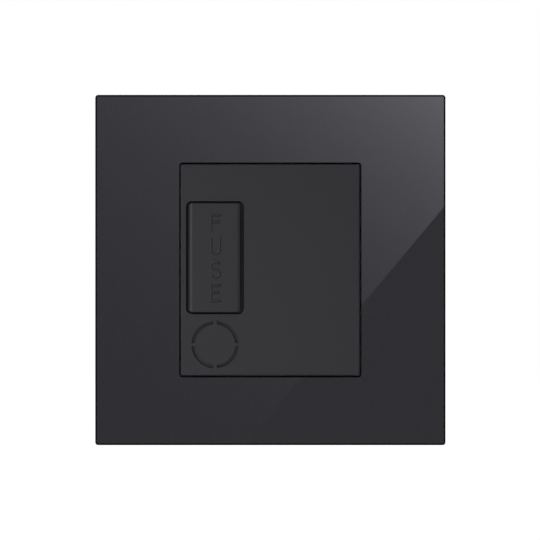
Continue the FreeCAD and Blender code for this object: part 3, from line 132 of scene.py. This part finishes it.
class Grain(Enum):
    """How a surface was made, which decides the pattern of its fine relief."""

    MOULDED = "spark-eroded mould"
    PRESSED = "pressed sheet"
    MACHINED = "cut with a tool"
    CELLULAR = "closed cells"
    FIRED = "fired body with specks"
    POLISHED = "polished"


# Detail of the noise, and how far it is squeezed along X, Y and Z, which draws it out in streaks.
EVEN_GRAIN = (2.0, (1.0, 1.0, 1.0))
STREAKED_GRAIN = {
    Grain.MACHINED: (3.0, (1.0, 0.08, 1.0)),
    Grain.PRESSED: (4.0, (0.25, 1.0, 1.0)),
}
# Fired specks: detail of the noise, and the values between which it turns from clear to speck.
SPECK_DETAIL = 6.0
SPECK_FROM, SPECK_FULL = 0.52, 0.66
# The slow drift between a finish's two tones.
DRIFT_MM = 9
DRIFT_DETAIL = 3.0
EASED_SAMPLES = 6
# The glass's face is where the Y of the normal is near 1. Its ground sides are duller.
FACE_FROM, FACE_FULL = 0.9, 0.99
GROUND_ROUGHNESS = 0.35
# The arris slants at 45 degrees. Gloss begins and is full at these distances from its normal's Y.
ARRIS_Y = 0.7
ARRIS_DEAD, ARRIS_CLEAR = 0.2, 0.29
FULL_SPECULAR = 0.5
# The clouds in the floor's paper, and the tufts of the flags' felt.
PAPER_CLOUD_MM = 2
FELT_TUFT_MM = 1.5
# A bevel of this profile is round.
ROUND_PROFILE = 0.5


@dataclass(frozen=True)
class Finish:
    """One finish: two close tones, a band of roughness and a fine relief.

    Attributes:
        name: The material's name.
        tones: Two sRGB colours that the surface wanders between.
        roughness: Lowest and highest roughness.
        grain: How the surface was made.
        grain_mm: Size of the grain.
        relief_mm: Height of the grain.
        metal: Is it bare metal?
        ior: Index of refraction.
        eased_mm: Radius of the soft edges that the mould leaves.
        edge: Colour of ground edges that turn away from the front, if there are any.
    """

    name: str
    tones: tuple[str, str]
    roughness: tuple[float, float]
    grain: Grain
    grain_mm: float
    relief_mm: float
    metal: bool = False
    ior: float = 1.5
    eased_mm: float = 0.0
    edge: str | None = None

    def relief(self, tree: bpy.types.NodeTree, place: bpy.types.NodeSocket) -> bpy.types.NodeSocket:
        """Build the grain's pattern.

        Args:
            tree: The material's node tree.
            place: Where on the piece a point lies.

        Returns:
            A value from 0 to 1.
        """
        scale = 1 / (self.grain_mm * MM)
        if self.grain is Grain.CELLULAR:
            cells = add_node(tree, "ShaderNodeTexVoronoi", {"Vector": place, "Scale": scale})
            return cells.outputs["Distance"]
        if self.grain is Grain.FIRED:
            specks = add_node(
                tree, "ShaderNodeTexNoise",
                {"Vector": place, "Scale": scale, "Detail": SPECK_DETAIL},
            )
            dots = add_node(tree, "ShaderNodeMapRange", {
                "Value": specks.outputs["Fac"], "From Min": SPECK_FROM, "From Max": SPECK_FULL,
            })
            return dots.outputs["Result"]
        detail, squeeze = STREAKED_GRAIN.get(self.grain, EVEN_GRAIN)
        drawn = add_node(tree, "ShaderNodeMapping", {"Vector": place, "Scale": squeeze})
        noise = add_node(
            tree, "ShaderNodeTexNoise",
            {"Vector": drawn.outputs["Vector"], "Scale": scale, "Detail": detail},
        )
        return noise.outputs["Fac"]

    def ground_edge(
        self, tree: bpy.types.NodeTree, tone: bpy.types.NodeSocket, gloss: bpy.types.NodeSocket
    ) -> dict[str, bpy.types.NodeSocket]:
        """Make the ground sides dark and dull, and the slanting arris round the front dead matt.

        Args:
            tree: The material's node tree.
            tone: The face's colour.
            gloss: The face's roughness.

        Returns:
            The shader's inputs that differ on the edges.
        """
        normal = add_node(tree, "ShaderNodeNewGeometry").outputs["Normal"]
        parts = add_node(tree, "ShaderNodeSeparateXYZ", {"Vector": normal})
        turned = add_node(tree, "ShaderNodeMath", {0: parts.outputs["Y"]}, operation="ABSOLUTE")
        face = add_node(tree, "ShaderNodeMapRange", {
            "Value": turned.outputs[0], "From Min": FACE_FROM, "From Max": FACE_FULL,
        }).outputs["Result"]
        colour = add_node(
            tree, "ShaderNodeMix",
            {FACTOR: face, COLOUR_A: linear(self.edge), COLOUR_B: tone}, data_type="RGBA",
        )
        rough = add_node(
            tree, "ShaderNodeMix",
            {FACTOR: face, NUMBER_A: GROUND_ROUGHNESS, NUMBER_B: gloss}, data_type="FLOAT",
        )
        slant = add_node(
            tree, "ShaderNodeMath", {0: turned.outputs[0], 1: ARRIS_Y}, operation="SUBTRACT"
        )
        off_arris = add_node(tree, "ShaderNodeMath", {0: slant.outputs[0]}, operation="ABSOLUTE")
        level = add_node(tree, "ShaderNodeMapRange", {
            "Value": off_arris.outputs[0], "From Min": ARRIS_DEAD, "From Max": ARRIS_CLEAR,
            "To Max": FULL_SPECULAR,
        })
        return {
            "Base Color": colour.outputs[COLOUR_OUT],
            "Roughness": rough.outputs[NUMBER_OUT],
            "Specular IOR Level": level.outputs["Result"],
        }

    def material(self) -> bpy.types.Material:
        """Build this finish's material on its first use.

        Returns:
            The material.
        """
        made = bpy.data.materials.get(self.name)
        if made:
            return made
        made = empty_material(self.name)
        tree = made.node_tree
        place = add_node(tree, "ShaderNodeTexCoord").outputs["Object"]
        relief = self.relief(tree, place)
        drift = add_node(
            tree, "ShaderNodeTexNoise",
            {"Vector": place, "Scale": 1 / (DRIFT_MM * MM), "Detail": DRIFT_DETAIL},
        )
        first, second = self.tones
        tone = add_node(tree, "ShaderNodeMix", {
            FACTOR: drift.outputs["Fac"], COLOUR_A: linear(first), COLOUR_B: linear(second),
        }, data_type="RGBA").outputs[COLOUR_OUT]
        smoothest, roughest = self.roughness
        gloss = add_node(
            tree, "ShaderNodeMapRange", {"Value": relief, "To Min": smoothest, "To Max": roughest}
        ).outputs["Result"]
        bump = add_node(tree, "ShaderNodeBump", {"Height": relief, "Distance": self.relief_mm * MM})
        if self.eased_mm:
            eased = add_node(
                tree, "ShaderNodeBevel", {"Radius": self.eased_mm * MM}, samples=EASED_SAMPLES
            )
            tree.links.new(eased.outputs["Normal"], bump.inputs["Normal"])
        settings = {"Base Color": tone, "Roughness": gloss, "Normal": bump.outputs["Normal"]}
        if self.edge:
            settings |= self.ground_edge(tree, tone, gloss)
        if self.metal:
            settings["Metallic"] = 1.0
        else:
            settings["IOR"] = self.ior
        shader = add_node(tree, "ShaderNodeBsdfPrincipled", settings)
        add_node(tree, "ShaderNodeOutputMaterial", {"Surface": shader.outputs["BSDF"]})
        return made

    def put_on(self, *nodes: str) -> None:
        """Give this finish to CAD nodes.

        Args:
            nodes: The nodes' names.
        """
        for name in nodes:
            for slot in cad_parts[name].material_slots:
                slot.material = self.material()
            log.info("%s: %s", name, self.name)


# Float glass painted black on its back: deep, even black under one sharp clear reflection.
PAINTED_GLASS = Finish(
    "toughened_glass_back_painted_black", ("#1F1F22", "#202023"), (0.004, 0.012),
    Grain.POLISHED, 6.0, 0.0, ior=1.52, edge="#090D0C",
)
# Polycarbonate from a spark-eroded mould: a soft, even satin. The real grain is about 0.05 mm
# and is drawn six times coarser, so that it shows at all close up.
SATIN_MOULDING = Finish(
    "polycarbonate_spark_eroded_black", ("#0D0C12", "#0F0E14"), (0.36, 0.46),
    Grain.MOULDED, 0.3, 0.004, ior=1.53, eased_mm=0.06,
)
# Glass-filled nylon: pale grey with a slightly uneven, dry skin.
GREY_NYLON = Finish(
    "nylon_moulded_grey", ("#C4C6C6", "#CED0CF"), (0.45, 0.60),
    Grain.MOULDED, 0.5, 0.008, ior=1.53,
)
# Rolling streaks and tool marks on metal are really about 0.1 mm apart. They are drawn two to
# four times coarser, so that they show close up.
# Cold-rolled steel strip, pressed and bright zinc plated: cool, streaked along the rolling.
ZINC_STEEL = Finish(
    "steel_pressed_zinc_plated", ("#B4B7BA", "#C6C8C9"), (0.25, 0.42),
    Grain.PRESSED, 0.4, 0.003, metal=True,
)
# Brass, drawn or cut: warm yellow with fine tool marks.
CUT_BRASS = Finish(
    "brass_machined", ("#C39A52", "#D3AC63"), (0.22, 0.38),
    Grain.MACHINED, 0.25, 0.003, metal=True,
)
# Drawn brass caps under bright nickel: a pale, faintly warm mirror.
NICKEL_BRASS = Finish(
    "brass_drawn_nickel_plated", ("#CBC6BA", "#D6D2C8"), (0.12, 0.24),
    Grain.MACHINED, 0.3, 0.001, metal=True,
)
# Steel screws with a clear zinc and chromate skin: bluish bright with a fine, uneven sheen.
ZINC_SCREWS = Finish(
    "steel_turned_zinc_plated", ("#AEB3B8", "#C5C7C6"), (0.20, 0.36),
    Grain.MACHINED, 0.2, 0.003, metal=True,
)
# Unglazed steatite: chalky off-white with fine specks.
STEATITE = Finish(
    "steatite_fired_unglazed", ("#D3CCBA", "#DCD5C5"), (0.55, 0.75),
    Grain.FIRED, 0.6, 0.004, ior=1.6,
)
# Closed-cell polyethylene foam: dead matt, with small open cells at its cut edge.
CELL_FOAM = Finish(
    "polyethylene_foam_die_cut", ("#1B1B1C", "#242425"), (0.85, 0.95),
    Grain.CELLULAR, 0.3, 0.05,
)


class Pen:
    """A flat nib that draws a letter's strokes as a ribbon of faces in the XZ plane."""

    def __init__(self, width: float) -> None:
        """Start an empty drawing.

        Args:
            width: The nib's width.
        """
        self.mesh = bmesh.new()
        self.half = width / 2
        self.edge: bmesh.types.BMEdge | None = None
        self.at = Vector((0.0, 0.0, 0.0))
        self.heading = 0.0

    def ahead(self) -> Vector:
        """Return the unit vector that the nib moves along."""
        return Vector((math.cos(self.heading), 0.0, math.sin(self.heading)))

    def aside(self) -> Vector:
        """Return the unit vector to the left of the nib's way."""
        return Vector((-math.sin(self.heading), 0.0, math.cos(self.heading)))

    def lower(self, x: float, z: float, degrees: float) -> None:
        """Put the nib down.

        Args:
            x: Where, across.
            z: Where, up.
            degrees: Which way it faces, from +X towards +Z.
        """
        self.at = Vector((x, 0.0, z))
        self.heading = math.radians(degrees)
        sides = (self.half, -self.half)
        ends = [self.mesh.verts.new(self.at + self.aside() * side) for side in sides]
        self.edge = self.mesh.edges.new(ends)

    def forward(self, length: float) -> bmesh.types.BMEdge:
        """Draw a straight stroke.

        Args:
            length: How far the nib goes.

        Returns:
            The stroke's right-hand side edge.
        """
        made = bmesh.ops.extrude_edge_only(self.mesh, edges=[self.edge])["geom"]
        fresh = [item for item in made if isinstance(item, bmesh.types.BMVert)]
        bmesh.ops.translate(self.mesh, verts=fresh, vec=self.ahead() * length)
        old_verts = set(self.edge.verts)
        face = [item for item in made if isinstance(item, bmesh.types.BMFace)][0]
        self.edge = [e for e in face.edges if not old_verts & set(e.verts)][0]
        sides = [e for e in face.edges if len(old_verts & set(e.verts)) == 1]
        self.at = self.at + self.ahead() * length
        return min(sides, key=lambda e: (e.verts[0].co + e.verts[1].co).dot(self.aside()))

    def bend(self, radius: float, degrees: float, steps: int) -> None:
        """Draw an arc.

        Args:
            radius: Its radius at the middle of the stroke.
            degrees: How far it turns, to the left if positive and to the right if negative.
            steps: How many straight pieces it has.
        """
        side = math.copysign(1.0, degrees)
        centre = self.at + self.aside() * (radius * side)
        swung = bmesh.ops.spin(
            self.mesh, geom=[self.edge], cent=centre, axis=(0.0, -1.0, 0.0), dvec=(0.0, 0.0, 0.0),
            angle=math.radians(degrees), steps=steps, use_merge=False, use_duplicate=False,
        )
        self.edge = [item for item in swung["geom_last"] if isinstance(item, bmesh.types.BMEdge)][0]
        self.heading += math.radians(degrees)
        self.at = centre - self.aside() * (radius * side)

    def branch(self, side: bmesh.types.BMEdge, length: float) -> None:
        """Draw a bar to the right, along +X.

        Args:
            side: The side edge of a stroke, which the bar comes out of.
            length: The bar's length.
        """
        made = bmesh.ops.extrude_edge_only(self.mesh, edges=[side])["geom"]
        fresh = [item for item in made if isinstance(item, bmesh.types.BMVert)]
        bmesh.ops.translate(self.mesh, verts=fresh, vec=(length, 0.0, 0.0))


@dataclass
class Lettering:
    """The word FUSE, moulded proud down the carrier's face in plain round-ended sans letters.

    Attributes:
        stroke: Width of a stroke.
        width: Width of a letter between the middles of its strokes.
        height: Height of a letter between the middles of its strokes.
        waist: Height of the middle bars above the letter's middle.
        short: How much shorter a middle bar is than the others.
        hook: How many degrees short of a half circle the S's ends stop.
        pitch: From one letter to the next.
        centre_x: Middle of the letters.
        first_z: Middle of the first letter.
        proud: How far the letters stand out.
        seat: How far they reach into the face.
        bevel: Width of their rounded rim.
        bevel_steps: Facets across that rim.
        round_steps: Straight pieces in a half circle.
        hook_steps: Straight pieces in the S's ends.
    """

    stroke: float = 0.62 * MM
    width: float = 2.35 * MM
    height: float = 4.1 * MM
    waist: float = 0.2 * MM
    short: float = 0.4 * MM
    hook: float = 25.0
    pitch: float = 6.35 * MM
    centre_x: float = -14.9 * MM
    first_z: float = 12.8 * MM
    proud: float = 0.3 * MM
    seat: float = 0.05 * MM
    bevel: float = 0.2 * MM
    bevel_steps: int = 3
    round_steps: int = 16
    hook_steps: int = 6

    def barred(self, pen: Pen, foot: bool) -> None:
        """Draw an F, or an E.

        Args:
            pen: What draws it.
            foot: Has it a bar at its foot, as an E has?
        """
        pen.lower(-self.width / 2, -self.height / 2 - self.stroke / 2, 90)
        low = pen.forward(self.stroke)
        pen.forward(self.height / 2 + self.waist - self.stroke)
        middle = pen.forward(self.stroke)
        pen.forward(self.height / 2 - self.waist - self.stroke)
        top = pen.forward(self.stroke)
        pen.branch(top, self.width)
        pen.branch(middle, self.width - self.short)
        if foot:
            pen.branch(low, self.width)

    def cup(self, pen: Pen) -> None:
        """Draw a U.

        Args:
            pen: What draws it.
        """
        radius = self.width / 2
        straight = self.height - radius + self.stroke / 2
        pen.lower(-radius, self.height / 2 + self.stroke / 2, -90)
        pen.forward(straight)
        pen.bend(radius, 180, self.round_steps)
        pen.forward(straight)

    def double_bowl(self, pen: Pen) -> None:
        """Draw an S from two bowls.

        Args:
            pen: What draws it.
        """
        # The bowls stand on each other, so each one is half as tall as the letter.
        radius = self.height / 4
        shift = self.width / 2 - radius
        start = math.radians(self.hook)
        end = Vector((shift + radius * math.cos(start), 0.0, radius + radius * math.sin(start)))
        pen.lower(end.x, end.z, 90 + self.hook)
        pen.bend(radius, 90 - self.hook, self.hook_steps)
        pen.forward(2 * shift)
        pen.bend(radius, 180, self.round_steps)
        pen.forward(2 * shift)
        pen.bend(radius, -180, self.round_steps)
        pen.forward(2 * shift)
        pen.bend(radius, self.hook - 90, self.hook_steps)

    def letter(self, name: str) -> bmesh.types.BMesh:
        """Draw one letter and raise it.

        Args:
            name: F, U, S or E.

        Returns:
            The letter as a closed mesh about its own middle, standing towards -Y.
        """
        pen = Pen(self.stroke)
        draw = {
            "F": lambda: self.barred(pen, False),
            "U": lambda: self.cup(pen),
            "S": lambda: self.double_bowl(pen),
            "E": lambda: self.barred(pen, True),
        }
        draw[name]()
        mesh = pen.mesh
        raised = bmesh.ops.extrude_face_region(mesh, geom=mesh.faces[:])["geom"]
        tops = [item for item in raised if isinstance(item, bmesh.types.BMFace)]
        verts = [item for item in raised if isinstance(item, bmesh.types.BMVert)]
        bmesh.ops.translate(mesh, verts=verts, vec=(0.0, -(self.proud + self.seat), 0.0))
        rim = [e for f in tops for e in f.edges if sum(g in tops for g in e.link_faces) == 1]
        bmesh.ops.bevel(
            mesh, geom=list(set(rim)), offset=self.bevel, segments=self.bevel_steps,
            affect="EDGES", profile=ROUND_PROFILE, material=-1,
        )
        bmesh.ops.recalc_face_normals(mesh, faces=mesh.faces[:])
        return mesh

    def build(self, face_y: float) -> None:
        """Build the word on the carrier's face, as one piece.

        Args:
            face_y: Where the face lies.
        """
        word = bmesh.new()
        for index, name in enumerate("FUSE"):
            drawn = self.letter(name)
            place = (self.centre_x, face_y + self.seat, self.first_z - index * self.pitch)
            bmesh.ops.transform(drawn, matrix=Matrix.Translation(place), verts=drawn.verts[:])
            part = bpy.data.meshes.new(f"letter_{name}")
            drawn.to_mesh(part)
            drawn.free()
            word.from_mesh(part)
            bpy.data.meshes.remove(part)
        piece = add_piece("carrier_lettering", word)
        piece.data.materials.append(SATIN_MOULDING.material())
        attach(piece, "carrier")
        log.info("carrier_lettering: %d faces", len(piece.data.polygons))


@dataclass
class Cover:
    """The glass plate, its tape and the frame behind it.

    Attributes:
        glass: The plate's node.
        tape: The foam tape's node.
        tray: The frame's node.
    """

    glass: str = "glass_plate"
    tape: str = "bonding_tape"
    tray: str = "cover_frame"

    def dress(self) -> None:
        """Give the cover its finishes."""
        PAINTED_GLASS.put_on(self.glass)
        CELL_FOAM.put_on(self.tape)
        SATIN_MOULDING.put_on(self.tray)


@dataclass
class FuseCarrier:
    """The pull-out drawer with its lettering and the fuse that it holds.

    Attributes:
        drawer: The drawer's node.
        tube: The node of the fuse's body.
        caps: The node of its end caps.
    """

    drawer: str = "fuse_carrier"
    tube: str = "fuse_body"
    caps: str = "fuse_end_caps"

    def build(self) -> None:
        """Letter the drawer's face."""
        lowest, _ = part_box(self.drawer)
        Lettering().build(lowest.y)

    def dress(self) -> None:
        """Give the carrier and its fuse their finishes."""
        SATIN_MOULDING.put_on(self.drawer)
        STEATITE.put_on(self.tube)
        NICKEL_BRASS.put_on(self.caps)


@dataclass
class WorkingPart:
    """What is screwed to the wall: insert, yoke, housing and metalwork.

    Attributes:
        insert: The insert's node.
        yoke: The yoke's node.
        housing: The housing's node.
        brass: The nodes of contacts, links and terminals.
        screws: The nodes of the fixed screws.
    """

    insert: str = "front_insert"
    yoke: str = "support_yoke"
    housing: str = "rear_housing"
    brass: tuple[str, ...] = (
        "supply_fuse_contact", "load_fuse_contact", "neutral_link", "earth_straps",
        "live_supply_terminal", "neutral_supply_terminal", "earth_supply_terminal",
        "live_load_terminal", "neutral_load_terminal", "earth_load_terminal",
    )
    screws: tuple[str, ...] = ("terminal_screws", "assembly_screws")

    def dress(self) -> None:
        """Give the working part its finishes."""
        SATIN_MOULDING.put_on(self.insert)
        ZINC_STEEL.put_on(self.yoke)
        GREY_NYLON.put_on(self.housing)
        CUT_BRASS.put_on(*self.brass)
        ZINC_SCREWS.put_on(*self.screws)


@dataclass
class CordClamp:
    """The bar that holds the cord on the rear of the housing.

    Attributes:
        bar: The bar's node.
        screws: The node of its screws.
    """

    bar: str = "cord_clamp_bar"
    screws: str = "cord_clamp_screws"

    def dress(self) -> None:
        """Give the clamp its finishes."""
        GREY_NYLON.put_on(self.bar)
        ZINC_SCREWS.put_on(self.screws)


def stage_square(name: str, side: float, place: Matrix) -> bpy.types.Object:
    """Make a square piece of the stage.

    Args:
        name: Its name.
        side: Its side.
        place: Where it goes.

    Returns:
        The new piece.
    """
    mesh = bmesh.new()
    bmesh.ops.create_grid(mesh, x_segments=1, y_segments=1, size=side / 2, matrix=place)
    piece = add_piece(name, mesh)
    return piece


def show_in_gloss_only(piece: bpy.types.Object) -> None:
    """Keep a stage piece out of the camera's view, the diffuse light and the shadows.

    Args:
        piece: The stage piece.
    """
    piece.visible_camera = False
    piece.visible_diffuse = False
    piece.visible_shadow = False


def seen(tree: bpy.types.NodeTree) -> bpy.types.NodeSocket:
    """Tell rays that look from rays that light.

    Args:
        tree: The node tree that asks.

    Returns:
        1 for camera, glossy and transmission rays, and 0 for light.
    """
    path = add_node(tree, "ShaderNodeLightPath")
    pair = add_node(tree, "ShaderNodeMath", {
        0: path.outputs["Is Camera Ray"], 1: path.outputs["Is Glossy Ray"],
    }, operation="MAXIMUM")
    return add_node(tree, "ShaderNodeMath", {
        0: pair.outputs[0], 1: path.outputs["Is Transmission Ray"],
    }, operation="MAXIMUM").outputs[0]


@dataclass
class StudioFlat:
    """The flat behind the camera, which the glass mirrors, glowing with painted light from the top
    right.

    Its mirror image on the plate is smaller than the flat. A slanting edge in it crosses the plate
    from the right side down to the bottom, and right of that edge the flat's glow is painted evenly
    dark. Places on it are given as millimetres on the plate, where their image lies.

    Attributes:
        y: Where it stands.
        side: Its side.
        shrink: How many times smaller the image is.
        fall: How fast the painted light falls off across and up.
        peak: The fall's sum on its brightest line, just beyond the plate's top right corner.
        lit: What the painted light adds at its peak.
        unlit: The painted light where it has fallen off.
        dark: The painted dark glow right of the edge.
        tint: Colour of the painted glow.
        slope: How steeply the edge rises.
        crossing: Where the edge crosses the plate's right side.
        blur: Half the width of the edge.
    """

    y: float = -0.9
    side: float = 2.6
    shrink: float = 2.62
    fall: tuple[float, float] = (0.0188, 0.0231)
    peak: float = 2.02
    lit: float = 2.22
    unlit: float = 0.254
    dark: float = 0.31
    tint: str = "#F4F3FF"
    slope: float = 1.196
    crossing: tuple[float, float] = (47.1, 17.1)
    blur: float = 0.1

    def weigh(
        self, tree: bpy.types.NodeTree, place: bpy.types.Node, across: float, up: float, offset: float
    ) -> bpy.types.NodeSocket:
        """Add up a point's place on the plate.

        Args:
            tree: The material's node tree.
            place: The node that gives the point's X and Z.
            across: What a millimetre across counts.
            up: What a millimetre up counts.
            offset: What is added.

        Returns:
            The sum.
        """
        on_plate = 1 / (self.shrink * MM)
        first = add_node(tree, "ShaderNodeMath", {
            0: place.outputs["X"], 1: across * on_plate, 2: offset,
        }, operation="MULTIPLY_ADD")
        return add_node(tree, "ShaderNodeMath", {
            0: place.outputs["Z"], 1: up * on_plate, 2: first.outputs[0],
        }, operation="MULTIPLY_ADD").outputs[0]

    def strength(self, tree: bpy.types.NodeTree) -> bpy.types.NodeSocket:
        """Work out how bright the flat looks.

        Args:
            tree: The material's node tree.

        Returns:
            The strength at each point.
        """
        point = add_node(tree, "ShaderNodeTexCoord").outputs["Object"]
        place = add_node(tree, "ShaderNodeSeparateXYZ", {"Vector": point})
        from_peak = self.weigh(tree, place, *self.fall, -self.peak)
        away = add_node(tree, "ShaderNodeMath", {0: from_peak}, operation="ABSOLUTE")
        fade = add_node(
            tree, "ShaderNodeMath", {0: 1 / math.e, 1: away.outputs[0]}, operation="POWER"
        )
        bright = add_node(tree, "ShaderNodeMath", {
            0: fade.outputs[0], 1: self.lit, 2: self.unlit,
        }, operation="MULTIPLY_ADD")
        length = math.hypot(1, self.slope)
        x, z = self.crossing
        from_edge = self.weigh(
            tree, place, -self.slope / length, 1 / length, (self.slope * x - z) / length
        )
        lit_side = add_node(tree, "ShaderNodeMapRange", {
            "Value": from_edge, "From Min": -self.blur, "From Max": self.blur,
        }, interpolation_type="SMOOTHSTEP")
        return add_node(tree, "ShaderNodeMix", {
            FACTOR: lit_side.outputs["Result"], NUMBER_A: self.dark, NUMBER_B: bright.outputs[0],
        }, data_type="FLOAT").outputs[NUMBER_OUT]

    def hang(self) -> None:
        """Hang the flat behind the camera."""
        facing = Matrix.Translation((0, self.y, 0)) @ Matrix.Rotation(math.radians(90), 4, "X")
        flat = stage_square("studio_flat", self.side, facing)
        show_in_gloss_only(flat)
        paint = empty_material("flat_glow_painted_light")
        tree = paint.node_tree
        # The flat is no lamp, but it glows. Its strength is painted light: a painted pool at the top
        # right, and painted dark right of the slanting edge.
        glow = add_node(tree, "ShaderNodeEmission", {
            "Color": linear(self.tint), "Strength": self.strength(tree),
        })
        add_node(tree, "ShaderNodeOutputMaterial", {"Surface": glow.outputs["Emission"]})
        flat.data.materials.append(paint)


class Felt(Enum):
    """The felts that the flags are cut from: two sRGB tones of the pile."""

    GREY = ("#7A797E", "#818085")
    PALE = ("#8E8D92", "#959499")

    def material(self) -> bpy.types.Material:
        """Build this felt, which has a short matt pile, on its first use.

        Returns:
            The material.
        """
        name = f"felt_flag_{self.name.lower()}"
        made = bpy.data.materials.get(name)
        if made:
            return made
        made = empty_material(name)
        tree = made.node_tree
        pile = add_node(tree, "ShaderNodeTexNoise", {
            "Vector": add_node(tree, "ShaderNodeTexCoord").outputs["Object"],
            "Scale": 1 / (FELT_TUFT_MM * MM),
        })
        first, second = self.value
        tone = add_node(tree, "ShaderNodeMix", {
            FACTOR: pile.outputs["Fac"], COLOUR_A: linear(first), COLOUR_B: linear(second),
        }, data_type="RGBA")
        cloth = add_node(tree, "ShaderNodeBsdfDiffuse", {"Color": tone.outputs[COLOUR_OUT]})
        add_node(tree, "ShaderNodeOutputMaterial", {"Surface": cloth.outputs["BSDF"]})
        return made


@dataclass(frozen=True)
class Flag:
    """A square of felt, which keeps the edges that mirror it dim.

    Attributes:
        name: Its name.
        side: Its side.
        place: Its middle.
        felt: What it is cut from.
        upright: Does it stand and face sideways? If not, it lies level.
    """

    name: str
    side: float
    place: tuple[float, float, float]
    felt: Felt
    upright: bool = False

    def hang(self) -> None:
        """Hang the flag."""
        place = Matrix.Translation(self.place)
        if self.upright:
            place = place @ Matrix.Rotation(math.radians(90), 4, "Y")
        piece = stage_square(self.name, self.side, place)
        show_in_gloss_only(piece)
        piece.data.materials.append(self.felt.material())


@dataclass(frozen=True)
class SoftBox:
    """A square lamp that points at the plate.

    Attributes:
        name: Its name.
        place: Where it hangs.
        side: Its side.
        power: Its power in watts.
    """

    name: str
    place: tuple[float, float, float]
    side: float
    power: float

    def hang(self) -> None:
        """Hang the soft box and turn it to the plate."""
        lamp = bpy.data.lights.new(self.name, "AREA")
        lamp.size = self.side
        lamp.energy = self.power
        holder = bpy.data.objects.new(self.name, lamp)
        holder.location = self.place
        holder.rotation_euler = Vector(self.place).to_track_quat("Z", "Y").to_euler()
        bpy.context.scene.collection.objects.link(holder)


# The key is the main light, from the upper left. The others are weak: side and fill stand to the
# left and the right, and the low one is small and hangs a little left of the camera and below it.
SOFT_BOXES = (
    SoftBox("key_softbox", (-0.8, -0.9, 0.9), 0.6, 15.0),
    SoftBox("side_softbox", (-0.6, -0.7, 0.12), 0.4, 0.8),
    SoftBox("fill_softbox", (1.0, -0.8, -0.1), 0.8, 0.7),
    SoftBox("low_softbox", (-0.19, -0.85, -0.075), 0.1, 0.15),
)
# Edges that face left mirror the white world, and those that face other ways mirror a flag.
FLAGS = (
    Flag("flag_right", 0.7, (0.6, 0.0, 0.0), Felt.GREY, upright=True),
    Flag("flag_above", 0.5, (0.0, -0.25, 0.1), Felt.PALE),
    Flag("flag_below", 0.5, (0.0, -0.05, -0.19), Felt.GREY),
)


@dataclass
class Studio:
    """Floor, world, flat, flags, lights and camera.

    Attributes:
        eye: The camera's place.
        lens: Focal length in millimetres.
        sensor: Width of the sensor in millimetres.
        near: What is nearer than this isn't seen.
        floor_z: Height of the floor.
        floor_side: Side of the floor.
        floor_glow: Strength of the floor's own white.
        floor_share: How much of what the eye sees of the floor is that white, and not lit paper.
        ambient: Strength of the world's light on the object.
    """

    eye: tuple[float, float, float] = (-0.0001, -0.5594, 0.0)
    lens: float = 135.25
    sensor: float = 36.0
    near: float = 0.01
    floor_z: float = -0.2
    floor_side: float = 6.0
    floor_glow: float = 1.15
    floor_share: float = 0.8
    ambient: float = 0.6

    def lay_floor(self) -> None:
        """Lay a white floor that stays white to the eye and keeps the object's shadow."""
        place = Matrix.Translation((0, 0, self.floor_z))
        floor = stage_square("floor", self.floor_side, place)
        made = empty_material("paper_sweep_white")
        tree = made.node_tree
        grain = add_node(tree, "ShaderNodeTexNoise", {
            "Vector": add_node(tree, "ShaderNodeTexCoord").outputs["Object"],
            "Scale": 1 / (PAPER_CLOUD_MM * MM),
        })
        tone = add_node(tree, "ShaderNodeMix", {
            FACTOR: grain.outputs["Fac"], COLOUR_A: linear("#FAFAFA"), COLOUR_B: linear(WHITE),
        }, data_type="RGBA")
        paper = add_node(tree, "ShaderNodeBsdfDiffuse", {"Color": tone.outputs[COLOUR_OUT]})
        glow = add_node(
            tree, "ShaderNodeEmission", {"Color": linear(WHITE), "Strength": self.floor_glow}
        )
        share = add_node(
            tree, "ShaderNodeMath", {0: seen(tree), 1: self.floor_share}, operation="MULTIPLY"
        )
        both = add_node(tree, "ShaderNodeMixShader", {
            0: share.outputs[0], 1: paper.outputs["BSDF"], 2: glow.outputs["Emission"],
        })
        add_node(tree, "ShaderNodeOutputMaterial", {"Surface": both.outputs["Shader"]})
        floor.data.materials.append(made)

    def light_world(self) -> None:
        """Fill the world with soft white, which the eye and mirrors see as full white."""
        world = bpy.data.worlds.new("white_cyclorama")
        bpy.context.scene.world = world
        world.use_nodes = True
        tree = world.node_tree
        tree.nodes.clear()
        strength = add_node(tree, "ShaderNodeMath", {
            0: seen(tree), 1: 1 - self.ambient, 2: self.ambient,
        }, operation="MULTIPLY_ADD")
        sky = add_node(tree, "ShaderNodeBackground", {
            "Color": linear(WHITE), "Strength": strength.outputs[0],
        })
        add_node(tree, "ShaderNodeOutputWorld", {"Surface": sky.outputs["Background"]})

    def place_camera(self) -> None:
        """Put the camera straight in front of the plate, as the photograph was taken."""
        camera = bpy.data.cameras.new("camera")
        camera.lens = self.lens
        camera.sensor_width = self.sensor
        camera.clip_start = self.near
        holder = bpy.data.objects.new("camera", camera)
        holder.location = self.eye
        holder.rotation_euler = (math.radians(90), 0.0, 0.0)
        bpy.context.scene.collection.objects.link(holder)
        bpy.context.scene.camera = holder

    def build(self) -> None:
        """Set the stage."""
        self.place_camera()
        self.lay_floor()
        StudioFlat().hang()
        for flag in FLAGS:
            flag.hang()
        self.light_world()
        for box in SOFT_BOXES:
            box.hang()


def main() -> None:
    """Build and dress the object and set the stage."""
    logging.basicConfig(level=logging.INFO, format="%(name)s %(message)s")
    bpy.context.scene.view_settings.view_transform = "Standard"
    carrier = FuseCarrier()
    carrier.build()
    carrier.dress()
    Cover().dress()
    WorkingPart().dress()
    CordClamp().dress()
    Studio().build()


if __name__ == "__main__":
    main()
